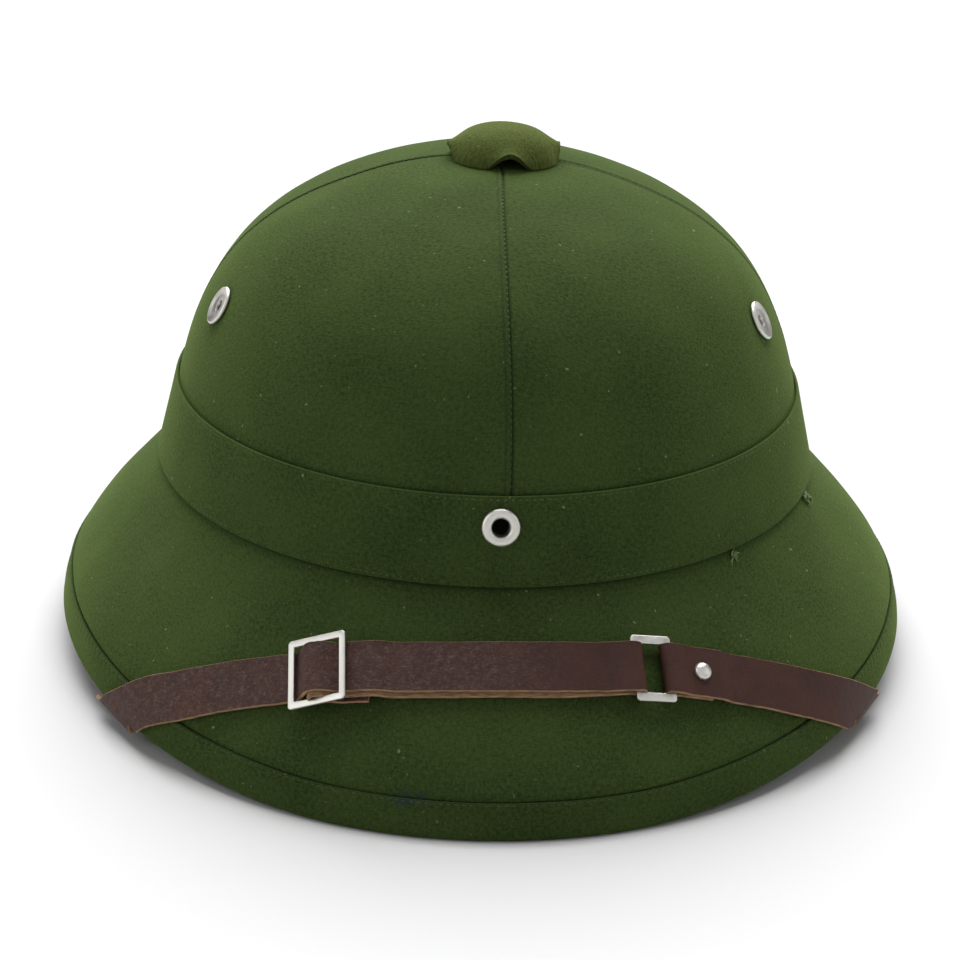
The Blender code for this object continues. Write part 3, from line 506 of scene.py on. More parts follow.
def dyed_leather(name, scuffed_until):
    """Vegetable-tanned cowhide with a dyed and lightly glazed face. The glaze is rubbed, most of all at the
    left end, so pale specks and streaks show there."""
    made = Finish(name, Specular_IOR_Level=0.16)
    cells = {"Vector": made.solid, "Scale": 1 / 0.0009}
    grain = add_node(made.tree, "TexVoronoi", cells, feature="DISTANCE_TO_EDGE").outputs["Distance"]
    cloud = made.remapped(made.noise(made.solid, 0.011, 4.0, 0.6), 0.3, 0.7)
    along = add_node(made.tree, "SeparateXYZ", {"Vector": made.solid}).outputs["X"]
    wear_and_highlight = made.remapped(along, scuffed_until - 0.03, scuffed_until, 1.0, 0.08)
    specks = made.remapped(made.noise(made.solid, 0.0007, 2.0, 0.8), 0.56, 0.72)
    streaks = made.remapped(made.drawn_out(made.flat, 0.0015, 0.0007, 3.0, 0.8), 0.46, 0.8)
    film = made.remapped(made.noise(made.solid, 0.002, 6.0, 0.8), 0.44, 0.66)
    patchy = made.maths("MULTIPLY", made.maths("ADD", specks, streaks), made.maths("ADD", film, 0.35))
    rubbed = made.maths("MULTIPLY", patchy, wear_and_highlight)
    shade = made.mixed(cloud, OXBLOOD_DARK, OXBLOOD)
    shade = made.tinted(shade, made.maths("MULTIPLY", film, wear_and_highlight), 0.09, SCUFF)
    shade = made.tinted(shade, rubbed, 0.34, SCUFF)
    gloss = made.remapped(made.maths("ADD", rubbed, cloud), 0.0, 1.6, 0.42, 0.72)
    pores = made.maths("MULTIPLY", made.remapped(grain, 0.0, 0.12), 0.4)
    height = made.maths("ADD", pores, made.noise(made.solid, 0.0025, 3.0))
    return made.finished(shade, height, 0.4, 0.0003, gloss)


def raw_hide():
    """The cut edge and flesh side of the same hide: undyed, fibrous and dull."""
    made = Finish("cut_hide", Roughness=0.9)
    fibres = made.drawn_out(made.flat, 0.004, 0.0005, 3.0, 0.7)
    shade = made.mixed(made.remapped(fibres, 0.35, 0.65), RAW_HIDE_DARK, RAW_HIDE)
    return made.finished(shade, fibres, 0.7, 0.0003)


def nickel_plate():
    """Nickel plate on pressed steel: bright and a little satin, with hairline scratches and dull spots."""
    made = Finish("nickel_plate", Metallic=1.0)
    dull = made.noise(made.solid, 0.0022, 4.0, 0.65)
    hairs = made.drawn_out(made.solid, 0.004, 0.00025, 1.0)
    gloss = made.remapped(dull, 0.3, 0.75, 0.3, 0.5)
    return made.finished(made.mixed(dull, NICKEL_DULL, NICKEL), hairs, 0.12, 0.0001, gloss)


def seam_angles(radius, lean):
    """The angles of the seams on a ring of the crown: front, right, back, left and front again."""
    quarter = math.pi / 2
    front = lean / np.maximum(radius, BUTTON_RADIUS)
    back = 2 * quarter + 0 * front
    return np.stack([front, quarter + 0 * front, back, 3 * quarter + 0 * front, 4 * quarter + front])


def crown_columns(mean_radius, lean):
    """The angles of each ring's columns, with each column's distance from its seam and from its panel's
    middle. Columns crowd at the seams, so that each seam keeps its width from the foot to the top."""
    offsets = np.concatenate([np.array(SEAM_COLUMNS) * 1e-3, np.arange(0.0095, 0.0915, 0.0035)])
    seams = seam_angles(mean_radius, lean)
    mean_radius = mean_radius[:, None]
    angles = []
    distances = []
    across = []
    for start, stop in zip(seams[:-1, :, None], seams[1:, :, None]):
        half = (stop - start) / 2
        reach = np.minimum(offsets / mean_radius, offsets / offsets[-1] * half)
        arc = reach * mean_radius
        middle = half * mean_radius
        angles += [start + reach, (stop - reach)[:, ::-1][:, 1:-1]]
        distances += [arc, -arc[:, ::-1][:, 1:-1]]
        across += [arc - middle, (middle - arc)[:, ::-1][:, 1:-1]]
    angles.append(seams[-1][:, None])
    distances.append(0 * mean_radius)
    across.append(across[0][:, :1])
    return [np.concatenate(columns, axis=1) for columns in (angles, distances, across)]


def hump(values, middle, width):
    """1 at the middle and softly down to 0 on both sides of it."""
    return np.exp(-(((values - middle) / width) ** 2))


def seam_relief(distance):
    """The cloth's height at a distance from a seam: a sharp groove, a ridge over the folded edge."""
    ridge = hump(distance, -0.00115, 0.0006) + 0.4 * hump(distance, 0.0014, 0.001)
    press = 0.5 * hump(distance, -SEAM_RIDGE_WIDTH, 0.0004)
    return SEAM_RIDGE * (ridge - press) - SEAM_GROOVE * hump(distance, 0, SEAM_GROOVE_HALF_WIDTH)


def crown_lean(heights):
    """How far the front seam lies to the right at each height."""
    drop = np.minimum(1, 1.5 * (CROWN_TOP - heights) / CROWN_RISE)
    return SEAM_LEAN_TOP + (SEAM_LEAN_FOOT - SEAM_LEAN_TOP) * np.sin(drop * math.pi / 2)


def make_crown(cotton):
    """The dome of four panels, whose seams are grooves with a pressed edge beside them."""
    joint = BAND_FOOT + JOINT_RISE
    heights = BAND_FOOT + CROWN_CURVE[::-1, 0] * CROWN_RISE
    heights = np.append(heights[heights > joint], joint)
    radius = np.maximum(crown_share(heights) * CROWN_MEAN_RADIUS, 1e-4)
    angles, distances, across = crown_columns(radius, crown_lean(heights))
    heights = heights[:, None] + 0 * angles
    places = crown_point(angles, heights)
    normals = crown_normal(angles, heights)
    normals[0] = (0, 0, 1)
    hand = 0.00022 * uneven(places, 0.05, 3) + 0.0001 * uneven(places, 0.018, 4)
    relief = np.clip((radius - 0.008) / 0.01, 0, 1)[:, None] * (seam_relief(distances) + hand)
    inside = places - (WALL - CROWN_CLOTH_GAP) * normals
    places = np.concatenate([places + relief[..., None] * normals, inside[::-1]])
    flat = np.stack([np.concatenate([across, across[::-1]]), travelled(places)], axis=-1)
    # Painted shade in each seam's groove and along the pressed edge beside it, fading out near the top
    painted_shading = 0.65 * hump(distances, 0, 0.0004) + 0.5 * hump(distances, -SEAM_RIDGE_WIDTH, 0.00035)
    painted_shading = painted_shading * np.clip((radius - 0.012) / 0.004, 0, 1)[:, None]
    crown = cloth_grid("crown_cover", places, np.concatenate([painted_shading, 0 * painted_shading]), flat)
    merge(crown)
    for place in eyelet_places():
        punch(crown, *place)
    finish_piece(crown, [cotton], "crown")


def punch(target, centre, axis, bore):
    """Cuts a round hole through a piece, for the barrel of an eyelet."""
    deselect()
    bpy.ops.mesh.primitive_cylinder_add(
        vertices=40, radius=bore + BARREL_WALL, depth=8 * WALL, location=tuple(centre),
        rotation=tuple(Vector(axis).to_track_quat("Z", "Y").to_euler()),
    )
    cutter = bpy.context.object
    hole = target.modifiers.new("hole", "BOOLEAN")
    hole.operation = "DIFFERENCE"
    hole.solver = "EXACT"
    hole.object = cutter
    apply_modifiers(target)
    bpy.data.objects.remove(cutter)


def eyelet_places():
    """The centre, axis and bore of the front eyelet and the two vents."""
    angle = math.asin(EYELET_SHIFT / (crown_share(EYELET_HEIGHT) * CROWN_WIDTH / 2))
    axis = crown_normal(angle, EYELET_HEIGHT)
    places = [(crown_point(angle, EYELET_HEIGHT) + (CLEARANCE + BAND_CLOTH) * axis, axis, EYELET_BORE)]
    for side in (-1, 1):
        angle = side * VENT_ANGLE
        places.append((crown_point(angle, VENT_HEIGHT), crown_normal(angle, VENT_HEIGHT), VENT_BORE))
    return places


def make_brim(cotton):
    """The flared ring below the crown. Its cloth dips where the binding's edge is sewn on."""
    angles = np.linspace(-math.pi, math.pi, 361)
    joint = BAND_FOOT + JOINT_RISE - CLEARANCE + 0 * angles
    top_place = crown_point(angles, joint)
    edge_shares = shares_above_edge(angles, [0.0112, 0.0108, 0.009, 0.006, 0.003, 0.0012]).T
    upper = np.linspace(0, 1, 40)[:, None] * (edge_shares[:1] - 0.012)
    shares = np.concatenate([upper, edge_shares])
    turns = np.broadcast_to(angles, shares.shape)
    skin = brim_point(turns, shares)
    normals = brim_normal(turns, shares)
    relief = 0.00025 * uneven(skin, 0.055, 11) + 0.0001 * uneven(skin, 0.02, 12)
    relief[len(upper):] = -0.0011
    relief[len(upper)] = -0.0006
    outer = np.concatenate([[top_place], skin + relief[..., None] * normals])
    inner = np.concatenate([[top_place - WALL * crown_normal(angles, joint)], skin - WALL * normals])
    places = np.concatenate([outer, inner[::-1], outer[:1]])
    # Painted shade on the brim's rows just under the band's foot, where the band's edge shades it
    painted_shading = np.zeros((len(places), 1))
    painted_shading[[0, 1, 2, -3, -2, -1]] = 0.8
    painted_shading[3] = 0.3
    brim = cloth_grid("brim_cover", places, painted_shading)
    merge(brim)
    finish_piece(brim, [cotton], "brim")


def make_hat_band(cotton):
    """The cloth band round the crown's foot: folded edges, a little fuller at its middle."""
    angles = np.linspace(-math.pi, math.pi, 481)
    half = BAND_CLOTH / 2
    turns = np.linspace(0, math.pi, 7)[1:-1]
    rows = [(share, BAND_CLOTH) for share in np.linspace(1 - BAND_HEM, BAND_HEM, 16)]
    rows += [(BAND_HEM - BAND_HEM * math.sin(turn), half + half * math.cos(turn)) for turn in turns]
    rows += [(share, 0.0) for share in np.linspace(BAND_HEM, 1 - BAND_HEM, 6)]
    rows += [(1 - BAND_HEM + BAND_HEM * math.sin(turn), half - half * math.cos(turn)) for turn in turns]
    shares, depth = np.array(rows + rows[:1]).T[..., None]
    heights = BAND_FOOT + shares * BAND_HEIGHT + 0 * angles
    base = crown_point(angles, heights)
    normals = crown_normal(np.broadcast_to(angles, heights.shape), heights)
    puff = 0.00012 * np.sin(math.pi * shares) + 0.00014 * uneven(base, 0.04, 21)
    pucker = 0.00007 * np.sin(angles * 230) * hump(np.minimum(shares, 1 - shares), 0, 0.1)
    offset = CLEARANCE + depth + np.where(depth > half, puff + pucker, 0.0)
    # Painted highlight: a lighter line along the band's raised top fold. Painted shade: a darker line just
    # above its lower edge.
    wear_and_highlight = hump(shares, 0.998, 0.006) * np.clip(depth / half - 0.8, 0, 1)
    painted_shading = 0.3 * hump(shares, 0.05, 0.02) - 0.9 * wear_and_highlight
    band = cloth_grid("band_cloth", base + offset[..., None] * normals, painted_shading)
    merge(band)
    punch(band, *eyelet_places()[0])
    finish_piece(band, [cotton], "hat_band")


def make_binding(cotton):
    """The cloth strip folded round the brim's edge, puckered along its seam."""
    angles = np.linspace(-math.pi, math.pi, 961)
    above, depths = np.array(BINDING_FACE).T[..., None]
    pucker = hump(above, 0.0098, 0.0016) * 0.00017 * np.sin(angles * 310)
    ripple = 0.00012 * uneven(brim_layer(angles, above[:, 0], 0), 0.02, 31)
    face = brim_layer(angles, above[:, 0], (depths - pucker - ripple)[..., None])
    edge = edge_point(angles)
    out = unit(brim_normal(angles, 1.0 + 0 * angles) * (1, 1, 0))
    back = WALL + CLEARANCE + BINDING_CLOTH
    quarter = np.linspace(0, math.pi / 2, 5)
    shifts = BINDING_ROUND * (1 - np.cos(quarter))
    rises = BINDING_ROUND * (1 - np.sin(quarter))
    bottom = [edge - shift * out + (0, 0, rise) for shift, rise in zip(shifts, rises)]
    bottom += [edge - (back - shift) * out + (0, 0, rise) for shift, rise in zip(shifts[::-1], rises[::-1])]
    inner = [(distance, back) for distance in (0.003, 0.005, 0.007, 0.0088)]
    inner += [(distance, back - BINDING_INNER) for distance in (0.009, 0.008, 0.005, 0.002)]
    inner += [(distance, BINDING_LAP) for distance in (0.002, 0.005, 0.008)]
    above, depths = np.array(inner).T
    places = np.concatenate([face, bottom, brim_layer(angles, above, depths[:, None, None]), face[:1]])
    # Painted shade along the binding's sewn edge, where its step meets the brim
    painted_shading = np.zeros((len(places), 1))
    painted_shading[:4, 0] = (0.9, 0.8, 0.35, 0.1)
    painted_shading[-1] = 0.9
    binding = cloth_grid("edge_binding", places, painted_shading)
    merge(binding)
    finish_piece(binding, [cotton], "brim_binding")


def arch(angle):
    """1 over the middle of each of the button's four arches, near the seams, and 0 beside it."""
    off_seam = np.abs((angle - BUTTON_TURN + math.pi / 4) % (math.pi / 2) - math.pi / 4)
    wave = 0.5 + 0.5 * np.cos(math.pi * np.minimum(off_seam / ARCH_HALF_ANGLE, 1))
    return wave**0.7


def make_button(cotton):
    """The cloth-covered cap, hollow below, with an arch in its hem over each seam."""
    profile = smooth_rows(BUTTON_PROFILE, 5)
    angles = np.linspace(0, 2 * math.pi, 145)
    radius_share, rise_share, arch_share = profile.T[..., None]
    radius = BUTTON_RADIUS * np.minimum(radius_share, 1.0)
    x = BUTTON_SHIFT + radius * np.sin(angles)
    y = -radius * np.cos(angles)
    seat = crown_height(x, y) + CLEARANCE
    z = seat + rise_share * (BUTTON_TOP - seat) + ARCH_RISE * arch_share * arch(angles)
    outside = np.stack([x, y, z], axis=-1)
    normals = np.cross(np.gradient(outside, axis=1), np.gradient(outside, axis=0))
    normals = normals / np.maximum(np.linalg.norm(normals, axis=-1, keepdims=True), 1e-12)
    normals = normals * np.where(normals[..., 2:] < 0, -1.0, 1.0)
    normals[0] = (0, 0, 1)
    ripple = 0.00015 * uneven(outside, 0.012, 41)[..., None]
    outside = outside + ripple * normals * np.clip(radius_share * 3, 0, 1)[..., None]
    hem = outside[-1] - normals[-1] * 0.0007 + (0, 0, -0.0001)
    inside = outside[2:] - BUTTON_WALL * 0.75 * normals[2:]
    apex = inside[0].mean(axis=0) + 0 * inside[0]
    places = np.concatenate([outside, [hem], inside[::-1], [apex]])
    # Painted shade along the hem's edge and just under it
    painted_shading = np.zeros((len(places), 1))
    painted_shading[len(outside) - 1:len(outside) + 3] = 0.55
    button = cloth_grid("button_cloth", places, painted_shading, places[..., :2])
    merge(button)
    finish_piece(button, [cotton], "top_button")


def turned(name, profile, steps=64):
    """A profile of (radius, height) that closes on itself or on the axis, spun round Z."""
    angles = np.linspace(0, 2 * math.pi, steps + 1)
    radius, height = np.array(profile).T[..., None]
    level = height + 0 * angles
    piece = grid(name, np.stack([radius * np.cos(angles), radius * np.sin(angles), level], axis=-1))
    merge(piece)
    return piece


def stand(piece, origin, axis, along=(0, 0, 1)):
    """Moves a mesh to an origin, its Z along the axis and its X near a direction."""
    z_axis = unit(np.array(axis, dtype=float))
    x_axis = unit(along - z_axis * np.dot(along, z_axis))
    turn = np.eye(4)
    turn[:3] = np.stack([x_axis, np.cross(z_axis, x_axis), z_axis, origin], axis=1)
    piece.data.transform(Matrix(turn))


def flange(radius, bore, wall):
    """The section of a pressed eyelet's barrel and of its flange inside the wall."""
    return [
        (bore + 0.0006, 0.0001), (bore + 0.0006, -wall - 0.0004), (radius - 0.0012, -wall - 0.0005),
        (radius - 0.0011, -wall - 0.0009), (bore + 0.0003, -wall - 0.0011), (bore, -wall - 0.0006),
    ]


def eyelet_profile(radius, bore, wall, dish):
    """The section of a pressed eyelet with a rolled rim."""
    middle = (radius + bore) / 2
    half = (radius - bore) / 2
    turns = np.linspace(math.pi, 0, 15)
    rim = [(middle + half * math.cos(turn), 0.0002 + dish * math.sin(turn) ** 0.7) for turn in turns]
    return rim + [(radius, 0.0001)] + flange(radius, bore, wall) + rim[:1]


def vent_profile(radius, bore, wall):
    """The section of a vent: a dished disc with a small hole and a rolled rim."""
    outside = [
        (bore, 0.0001), (bore + 0.0001, 0.0004), (bore + 0.0005, 0.0005), (0.55 * radius, 0.0004),
        (0.72 * radius, 0.0006), (0.84 * radius, 0.001), (0.91 * radius, 0.0011), (0.97 * radius, 0.0009),
        (radius, 0.0005), (radius - 0.0001, 0.0001),
    ]
    return outside + flange(radius, bore, wall) + outside[:1]


def make_eyelets(nickel):
    """The eyelet in the band and the two vents. Their rims sit on the cloth."""
    vent = vent_profile(VENT_RADIUS, VENT_BORE, WALL)
    front = eyelet_profile(EYELET_RADIUS, EYELET_BORE, WALL + BAND_CLOTH + CLEARANCE, 0.0014)
    sections = [("front_eyelet", front), ("vent_left", vent), ("vent_right", vent)]
    for (node, profile), (centre, axis, _) in zip(sections, eyelet_places()):
        eyelet = turned(node + "_metal", profile)
        stand(eyelet, centre + 0.00015 * axis, axis)
        finish_piece(eyelet, [nickel], node)


def route_frame(along):
    """The place on the strap's route, its direction, the brim's normal and the direction up the brim."""
    angle, share = between(along, ROUTE_LENGTHS, ROUTE_ROWS)
    ahead, behind = [between(along + step, ROUTE_LENGTHS, ROUTE_POINTS) for step in (0.002, -0.002)]
    travel = unit(ahead - behind)
    normal = brim_normal(angle, share)
    normal = unit(normal - travel * np.dot(normal, travel))
    return brim_point(angle, share), travel, normal, np.cross(normal, travel)


# The strap's route over the brim, as rows of angle and share, and the levels of its layers and bars
ROUTE_ROWS = smooth_rows(STRAP_ROUTE, 12) * (math.pi / 180, 1)
ROUTE_POINTS = brim_point(*ROUTE_ROWS.T)
ROUTE_LENGTHS = travelled(ROUTE_POINTS)
LEVEL = STRAP_LIFT + LEATHER / 2
LAYER = LEATHER + LAYER_GAP
BAR_LEVEL = LEVEL + FOLD_RADIUS
SLIDE = np.interp(SLIDE_ANGLE, ROUTE_ROWS[:, 0], ROUTE_LENGTHS)
SLIDE_BAR = (SLIDE_LENGTH - BAR_WIDTH) / 2
RING = np.interp(RING_ANGLE, ROUTE_ROWS[:, 0], ROUTE_LENGTHS)
RING_BAR = (RING_LENGTH - BAR_WIDTH) / 2
UNDER_BAR = LEATHER / 2 + 2 * CLEARANCE + BAR_THICKNESS / 2
SLIDE_LEFT_LEVEL = LEVEL + UNDER_BAR
SLIDE_RIGHT_LEVEL = LEVEL + 2 * LAYER + UNDER_BAR
SLIDE_LEVEL = (SLIDE_LEFT_LEVEL + SLIDE_RIGHT_LEVEL) / 2
EDGE_STEPS = (0.003, 0.0045, 0.006, 0.0075, 0.009, 0.0105)
STRAP_START = 0.012
STRAP_STEP = 0.0015


def ease(start, stop, steps=13):
    """A soft slope from one (distance along, height over the brim) to another."""
    shares = np.linspace(0, 1, steps)
    soft = 0.5 * shares + 0.5 * shares**2 * (3 - 2 * shares)
    along = start[0] + (stop[0] - start[0]) * shares
    return list(zip(along, start[1] + (stop[1] - start[1]) * soft))


def fold(centre, over, side, upward, steps=15):
    """A half turn round a bar, on its far side along the route where side is 1."""
    centre += side * FOLD_SHIFT
    turns = np.linspace(-math.pi / 2, math.pi / 2, steps)[::1 if upward else -1]
    return [(centre + side * FOLD_RADIUS * math.cos(t), over + FOLD_RADIUS * math.sin(t)) for t in turns]


def over_bar(foot, centre, radius, steps=9):
    """From a foot beside a bar straight up to a circle round it, and on to the circle's top."""
    away = math.hypot(centre[0] - foot[0], centre[1] - foot[1])
    slope = math.atan2(centre[1] - foot[1], abs(centre[0] - foot[0])) + math.asin(radius / away)
    side = radius if foot[0] > centre[0] else -radius
    turns = np.linspace(slope, 0, steps)
    return [foot] + [(centre[0] + side * math.sin(t), centre[1] + radius * math.cos(t)) for t in turns]


def run(start, stop):
    """Even steps along a stretch at one height."""
    count = max(2, round(abs(stop[0] - start[0]) / STRAP_STEP))
    return [tuple(row) for row in np.linspace(start, stop, count + 1)]


def offset_path(path, distance):
    """The path moved to the left of its direction."""
    path = np.array(path)
    direction = unit(np.gradient(path, axis=0))
    return [tuple(row) for row in path + distance * np.stack([-direction[:, 1], direction[:, 0]], axis=1)]


def route_sections(path, slip):
    """A strap's sections over the brim: centre, half of the line across it, and normal."""
    frames = [route_frame(along) for along, _ in path]
    rises = [over for _, over in path]
    centres = [point + over * normal + shift * up
               for (point, _, normal, up), over, shift in zip(frames, rises, slip)]
    sections = []
    for centre, direction, frame_here in zip(centres, unit(np.gradient(np.array(centres), axis=0)), frames):
        up = frame_here[3]
        across = unit(up - direction * np.dot(up, direction))
        sections.append((centre, across * STRAP_WIDTH / 2, unit(np.cross(across, direction))))
    return sections


def wrap_sections(side):
    """Places and lines across the strap, from the brim's edge round it and in to the anchor."""
    start = ROUTE_ROWS[0 if side < 0 else -1, 0]
    drift = side * math.radians(0.4)
    half = LEATHER / 2 + CLEARANCE
    depth = WALL + CLEARANCE + BINDING_CLOTH + EDGE_SLACK
    around = [
        (half, 0.0015), (half, 0.0), (0.6 * half, -0.7 * half), (0.0, -half), (-depth, -half),
        (-depth - 0.6 * half, -0.7 * half), (-depth - half, 0.0), (-depth - half, 0.002),
    ]
    places = []
    lines = []
    for step, (out_by, up_by) in enumerate(around):
        angle = start + drift * step
        out = brim_normal(angle, 1.0) * (1, 1, 0)
        places.append(edge_point(angle) + out_by * out + (0, 0, up_by))
        lines.append(unit(edge_point(angle - 0.03) - edge_point(angle + 0.03)) * -side)
    below = places[-1]
    first_line = lines[-1]
    wall = crown_point(side * ANCHOR_ANGLE, ANCHOR_HEIGHT)
    axis = crown_normal(side * ANCHOR_ANGLE, ANCHOR_HEIGHT)
    seat_gap = CLEARANCE + STRAP_WIDTH / 2 * 0.06 + (STRAP_WIDTH / 2) ** 2 / CROWN_WIDTH
    seat = wall - (WALL + seat_gap + LEATHER / 2) * axis
    reach = unit(seat - below - axis * np.dot(seat - below, axis))
    end_line = np.cross(axis, reach)
    if np.dot(end_line, first_line) < 0:
        end_line = -end_line
    landing = seat - STRAP_LANDING * reach
    for share in np.linspace(0, 1, 25)[1:]:
        places.append(below + share * (landing - below) - STRAP_BOW * math.sin(math.pi * share) * axis)
        lines.append(unit(first_line + share * (end_line - first_line)))
    return places + [seat, seat + STRAP_END * reach], lines + [end_line, end_line]


def slanted_sections(places, lines, travel_first):
    """Turns places and the lines across them into sections as wide as the strap."""
    travel = unit(np.gradient(np.array(places), axis=0))
    travel[0] = travel_first
    sections = []
    for place, line, direction in zip(places, lines, travel):
        normal = np.cross(line, direction)
        slant = max(np.linalg.norm(normal), LEAST_SLANT)
        sections.append((place, line * STRAP_WIDTH / 2 / slant, unit(normal)))
    return sections


def turn_lines(sections, line, at_end, count=11):
    """Turns the lines across the first or last sections step by step to a slanted one."""
    order = sections[::1 if at_end else -1]
    slanted = []
    for step, (centre, half_line, normal) in enumerate(order[-count:], 1):
        across = unit(half_line)
        mix = unit(across + step / (count + 1) * (line - across))
        mix = unit(mix - normal * np.dot(mix, normal))
        slant = max(abs(np.dot(mix, across)), LEAST_SLANT)
        slanted.append((centre, mix * STRAP_WIDTH / 2 / slant, normal))
    return (order[:-count] + slanted)[::1 if at_end else -1]


def strap_piece(node, sections, seed, finishes):
    """A leather strap: a dyed face, cut edges that aren't quite straight, a raw back."""
    half = STRAP_WIDTH / 2
    thick = LEATHER / 2
    face = [(place, thick) for place in (0.00025 - half, -0.6 * half, 0.0, 0.6 * half, half - 0.00025)]
    back = [(place, -thick) for place in (half - 0.0002, 0.0, 0.0002 - half)]
    edges = [[(side * half, side * share * thick) for share in (0.5, -0.5)] for side in (1, -1)]
    outline = np.array(face + edges[0] + back + edges[1] + face[:1])
    spin = np.random.default_rng(seed)
    wobble = np.convolve(spin.normal(size=len(sections) + 8), np.ones(3) / 3, "same")[4:-4] * 0.00008
    rows = []
    for (centre, half_line, normal), shift in zip(sections, wobble):
        across = half_line / half * (1 + shift / half)
        rows.append([centre + across * a + normal * b for a, b in outline])
    rows = np.array(rows)
    ends = np.repeat(rows[[0, -1]].mean(axis=1, keepdims=True), rows.shape[1], axis=1)
    places = np.concatenate([ends[:1], rows, ends[1:]])
    along = travelled(np.array([centre for centre, _, _ in sections]))
    spots = np.stack(np.meshgrid(np.pad(along, 1, "edge"), travelled(outline), indexing="ij"), axis=-1)
    strap = cloth_grid(node + "_leather", places, flat=spots)
    faces = len(strap.data.polygons)
    row, column = np.divmod(np.arange(faces), places.shape[1] - 1)
    middle, _, normal = sections[len(sections) // 2]
    dyed = column < 4 if np.dot(normal, middle) > 0 else (column >= 7) & (column < 9)
    cut = ~dyed | (row == 0) | (row == row.max())
    strap.data.polygons.foreach_set("material_index", cut.astype(np.int32))
    merge(strap)
    finish_piece(strap, finishes, node)


def make_long_strap(finishes):
    """From the left anchor round the brim's edge, through the slide, round the ring and back to the slide."""
    window = SLIDE_BAR - BAR_WIDTH / 2 - CLEARANCE
    tail_end = SLIDE + TAIL_LENGTH
    ring_bar = RING - RING_BAR
    second = LEVEL + LAYER
    loop = over_bar((SLIDE + window, second), (SLIDE + FOLD_SHIFT, SLIDE_LEVEL), FOLD_RADIUS)[::-1]
    loop += run((SLIDE + SLIDE_BAR, second), (tail_end + 0.0015, second))
    loop += ease((tail_end + 0.0015, second), (tail_end + 0.007, LEVEL), 7)[1:]
    path = [(step, LEVEL) for step in EDGE_STEPS]
    path += run((STRAP_START, LEVEL), (SLIDE - SLIDE_BAR, LEVEL))
    path += over_bar((SLIDE - window, LEVEL), (SLIDE - FOLD_SHIFT, SLIDE_LEVEL), FOLD_RADIUS + LAYER)
    path += offset_path(loop, LAYER)
    path += run((tail_end + 0.009, second), (ring_bar - 0.012, second))
    path += ease((ring_bar - 0.01, second), (ring_bar - 0.001, BAR_LEVEL + FOLD_RADIUS), 9)
    path += fold(ring_bar, BAR_LEVEL, 1, upward=False)
    half_way = len(path)
    path += run((ring_bar - 0.002, LEVEL), (tail_end + 0.009, LEVEL))
    path += loop[::-1]
    path += fold(SLIDE, SLIDE_LEVEL, -1, upward=False)
    path += ease((SLIDE + 0.001, SLIDE_LEVEL - FOLD_RADIUS), (SLIDE + SLIDE_BAR, LEVEL), 9)
    path += run((SLIDE + SLIDE_BAR + 0.002, LEVEL), (tail_end, LEVEL))
    slip = np.zeros(len(path))
    slip[half_way:] = -LAYER_SLIP * np.minimum(1, np.arange(len(path) - half_way) / 12)
    slip[-TAIL_STEPS:] -= TAIL_SLIP * np.linspace(0, 1, TAIL_STEPS)
    places, lines = wrap_sections(-1)
    wrap = slanted_sections(places[::-1], lines[::-1], unit(places[-2] - places[-1]))
    sections = turn_lines(route_sections(path, slip), lines[0], at_end=False)
    strap_piece("strap_long", wrap + sections, 5, finishes)


def make_short_strap(finishes):
    """The strap folded round the ring, which runs round the brim's edge to the right anchor."""
    ring_bar = RING + RING_BAR
    flap_end = ring_bar + FLAP_LENGTH
    second = LEVEL + LAYER
    path = run((flap_end, LEVEL), (ring_bar + 0.002, LEVEL))
    path += fold(ring_bar, BAR_LEVEL, -1, upward=True)
    path += ease((ring_bar + 0.001, BAR_LEVEL + FOLD_RADIUS), (ring_bar + 0.007, second), 9)
    path += run((ring_bar + 0.008, second), (flap_end + 0.0015, second))
    path += ease((flap_end + 0.0025, second), (flap_end + 0.007, LEVEL), 6)
    path += run((flap_end + 0.01, LEVEL), (ROUTE_LENGTHS[-1] - STRAP_START, LEVEL))
    path += [(ROUTE_LENGTHS[-1] - step, LEVEL) for step in EDGE_STEPS[::-1]]
    places, lines = wrap_sections(1)
    wrap = slanted_sections(places, lines, unit(places[1] - places[0]))
    sections = turn_lines(route_sections(path, np.zeros(len(path))), lines[0], at_end=True)
    strap_piece("strap_short", sections + wrap, 6, finishes)


